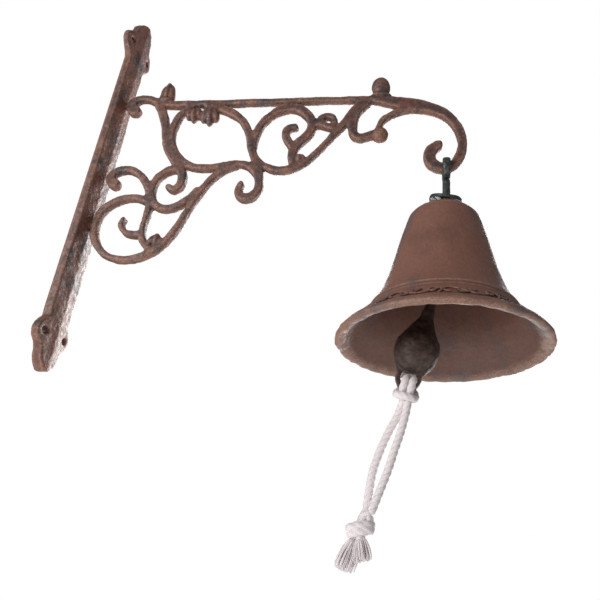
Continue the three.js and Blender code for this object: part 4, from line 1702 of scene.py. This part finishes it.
@dataclass
class Stage:
    """Camera, floor, pale surroundings and soft lights."""

    camera_place: tuple[float, float, float] = (0.19064, -0.25424, -0.21505)
    right: tuple[float, float, float] = (0.999579, 0.028823, -0.003208)
    up: tuple[float, float, float] = (0.015687, -0.44432, 0.895731)
    lens: float = 32.39
    shift_x: float = -0.1667
    floor_height: float = -0.62
    floor_radius: float = 1.6

    def camera(self) -> None:
        """Sets the camera at the viewing angle."""
        data = bpy.data.cameras.new("camera")
        data.sensor_width = 36
        data.lens = self.lens
        data.shift_x = self.shift_x
        data.clip_start = 0.005
        obj = bpy.data.objects.new("camera", data)
        right, up = Vector(self.right).normalized(), Vector(self.up).normalized()
        back = right.cross(up)
        turned = Matrix((right, up, back)).transposed().to_4x4()
        obj.matrix_world = Matrix.Translation(self.camera_place) @ turned
        bpy.context.scene.collection.objects.link(obj)
        bpy.context.scene.camera = obj

    def floor(self) -> None:
        """Lays a pale matt floor well below the cord."""
        middle, steps = 150, 64
        height, radius = self.floor_height / MM, self.floor_radius / MM
        rim = [Vector((x, y, height)) for x, y in circle(middle, 0, radius, steps)]
        faces = [(0, 1 + k, 1 + (k + 1) % steps) for k in range(steps)]
        obj = Shape([Vector((middle, 0, height)), *rim], faces).to_object("floor")
        surface = Surface("pale_floor")
        tone = surface.ramp(surface.grain(400, 1), 0.3, 0.7, 0, 1)
        colour = surface.blend(tone, srgb("#f4f3f2"), srgb("#f8f7f6"))
        obj.data.materials.append(surface.finish(colour, 0.9, surface.bump(surface.grain(6), 0.02)))

    def light(self, name: str, place: Point, size: float, watts: float, target: Point) -> None:
        """Hangs one soft white square light that faces a point."""
        data = bpy.data.lights.new(name, "AREA")
        data.size = size
        data.energy = watts
        obj = bpy.data.objects.new(name, data)
        way = Vector(target) - Vector(place)
        obj.matrix_world = Matrix.Translation(place) @ way.to_track_quat("-Z", "Y").to_matrix().to_4x4()
        bpy.context.scene.collection.objects.link(obj)

    def build(self) -> None:
        """Sets up everything round the object."""
        self.camera()
        self.floor()
        self.light("key", (-0.45, -0.7, 0.1), 0.6, 6.2, (0.15, 0, -0.05))
        self.light("under", (-0.1, -0.3, -0.58), 0.5, 1.2, (0.1, 0, 0))
        self.light("back", (0.22, 0.95, 0.2), 0.9, 20.0, (0.0, 0, 0))
        world = bpy.data.worlds.new("studio")
        world.use_nodes = True
        tree = world.node_tree
        tree.nodes.clear()
        seen = add(tree, "ShaderNodeLightPath").outputs["Is Camera Ray"]
        strength = add(tree, "ShaderNodeMapRange", {"Value": seen, "To Min": 0.26, "To Max": 1.0})
        glow = add(tree, "ShaderNodeBackground", {"Color": (1, 1, 1, 1), "Strength": strength})
        add(tree, "ShaderNodeOutputWorld", {"Surface": glow})
        bpy.context.scene.world = world
        bpy.context.scene.view_settings.view_transform = "Standard"


def main() -> None:
    """Builds the bell, part by part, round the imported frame."""
    logging.basicConfig(level=logging.INFO, format="%(name)s: %(message)s")
    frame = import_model()
    Stage().build()
    axes = Axes.of(frame["joints"])
    finishes = Finishes.made()
    clapper = Clapper()
    CottonCord().build(axes, clapper, finishes)
    Bracket().build(finishes)
    Hanger().build(axes, finishes)
    BellShell().build(axes, finishes)
    clapper.build(axes, finishes)


if __name__ == "__main__":
    main()
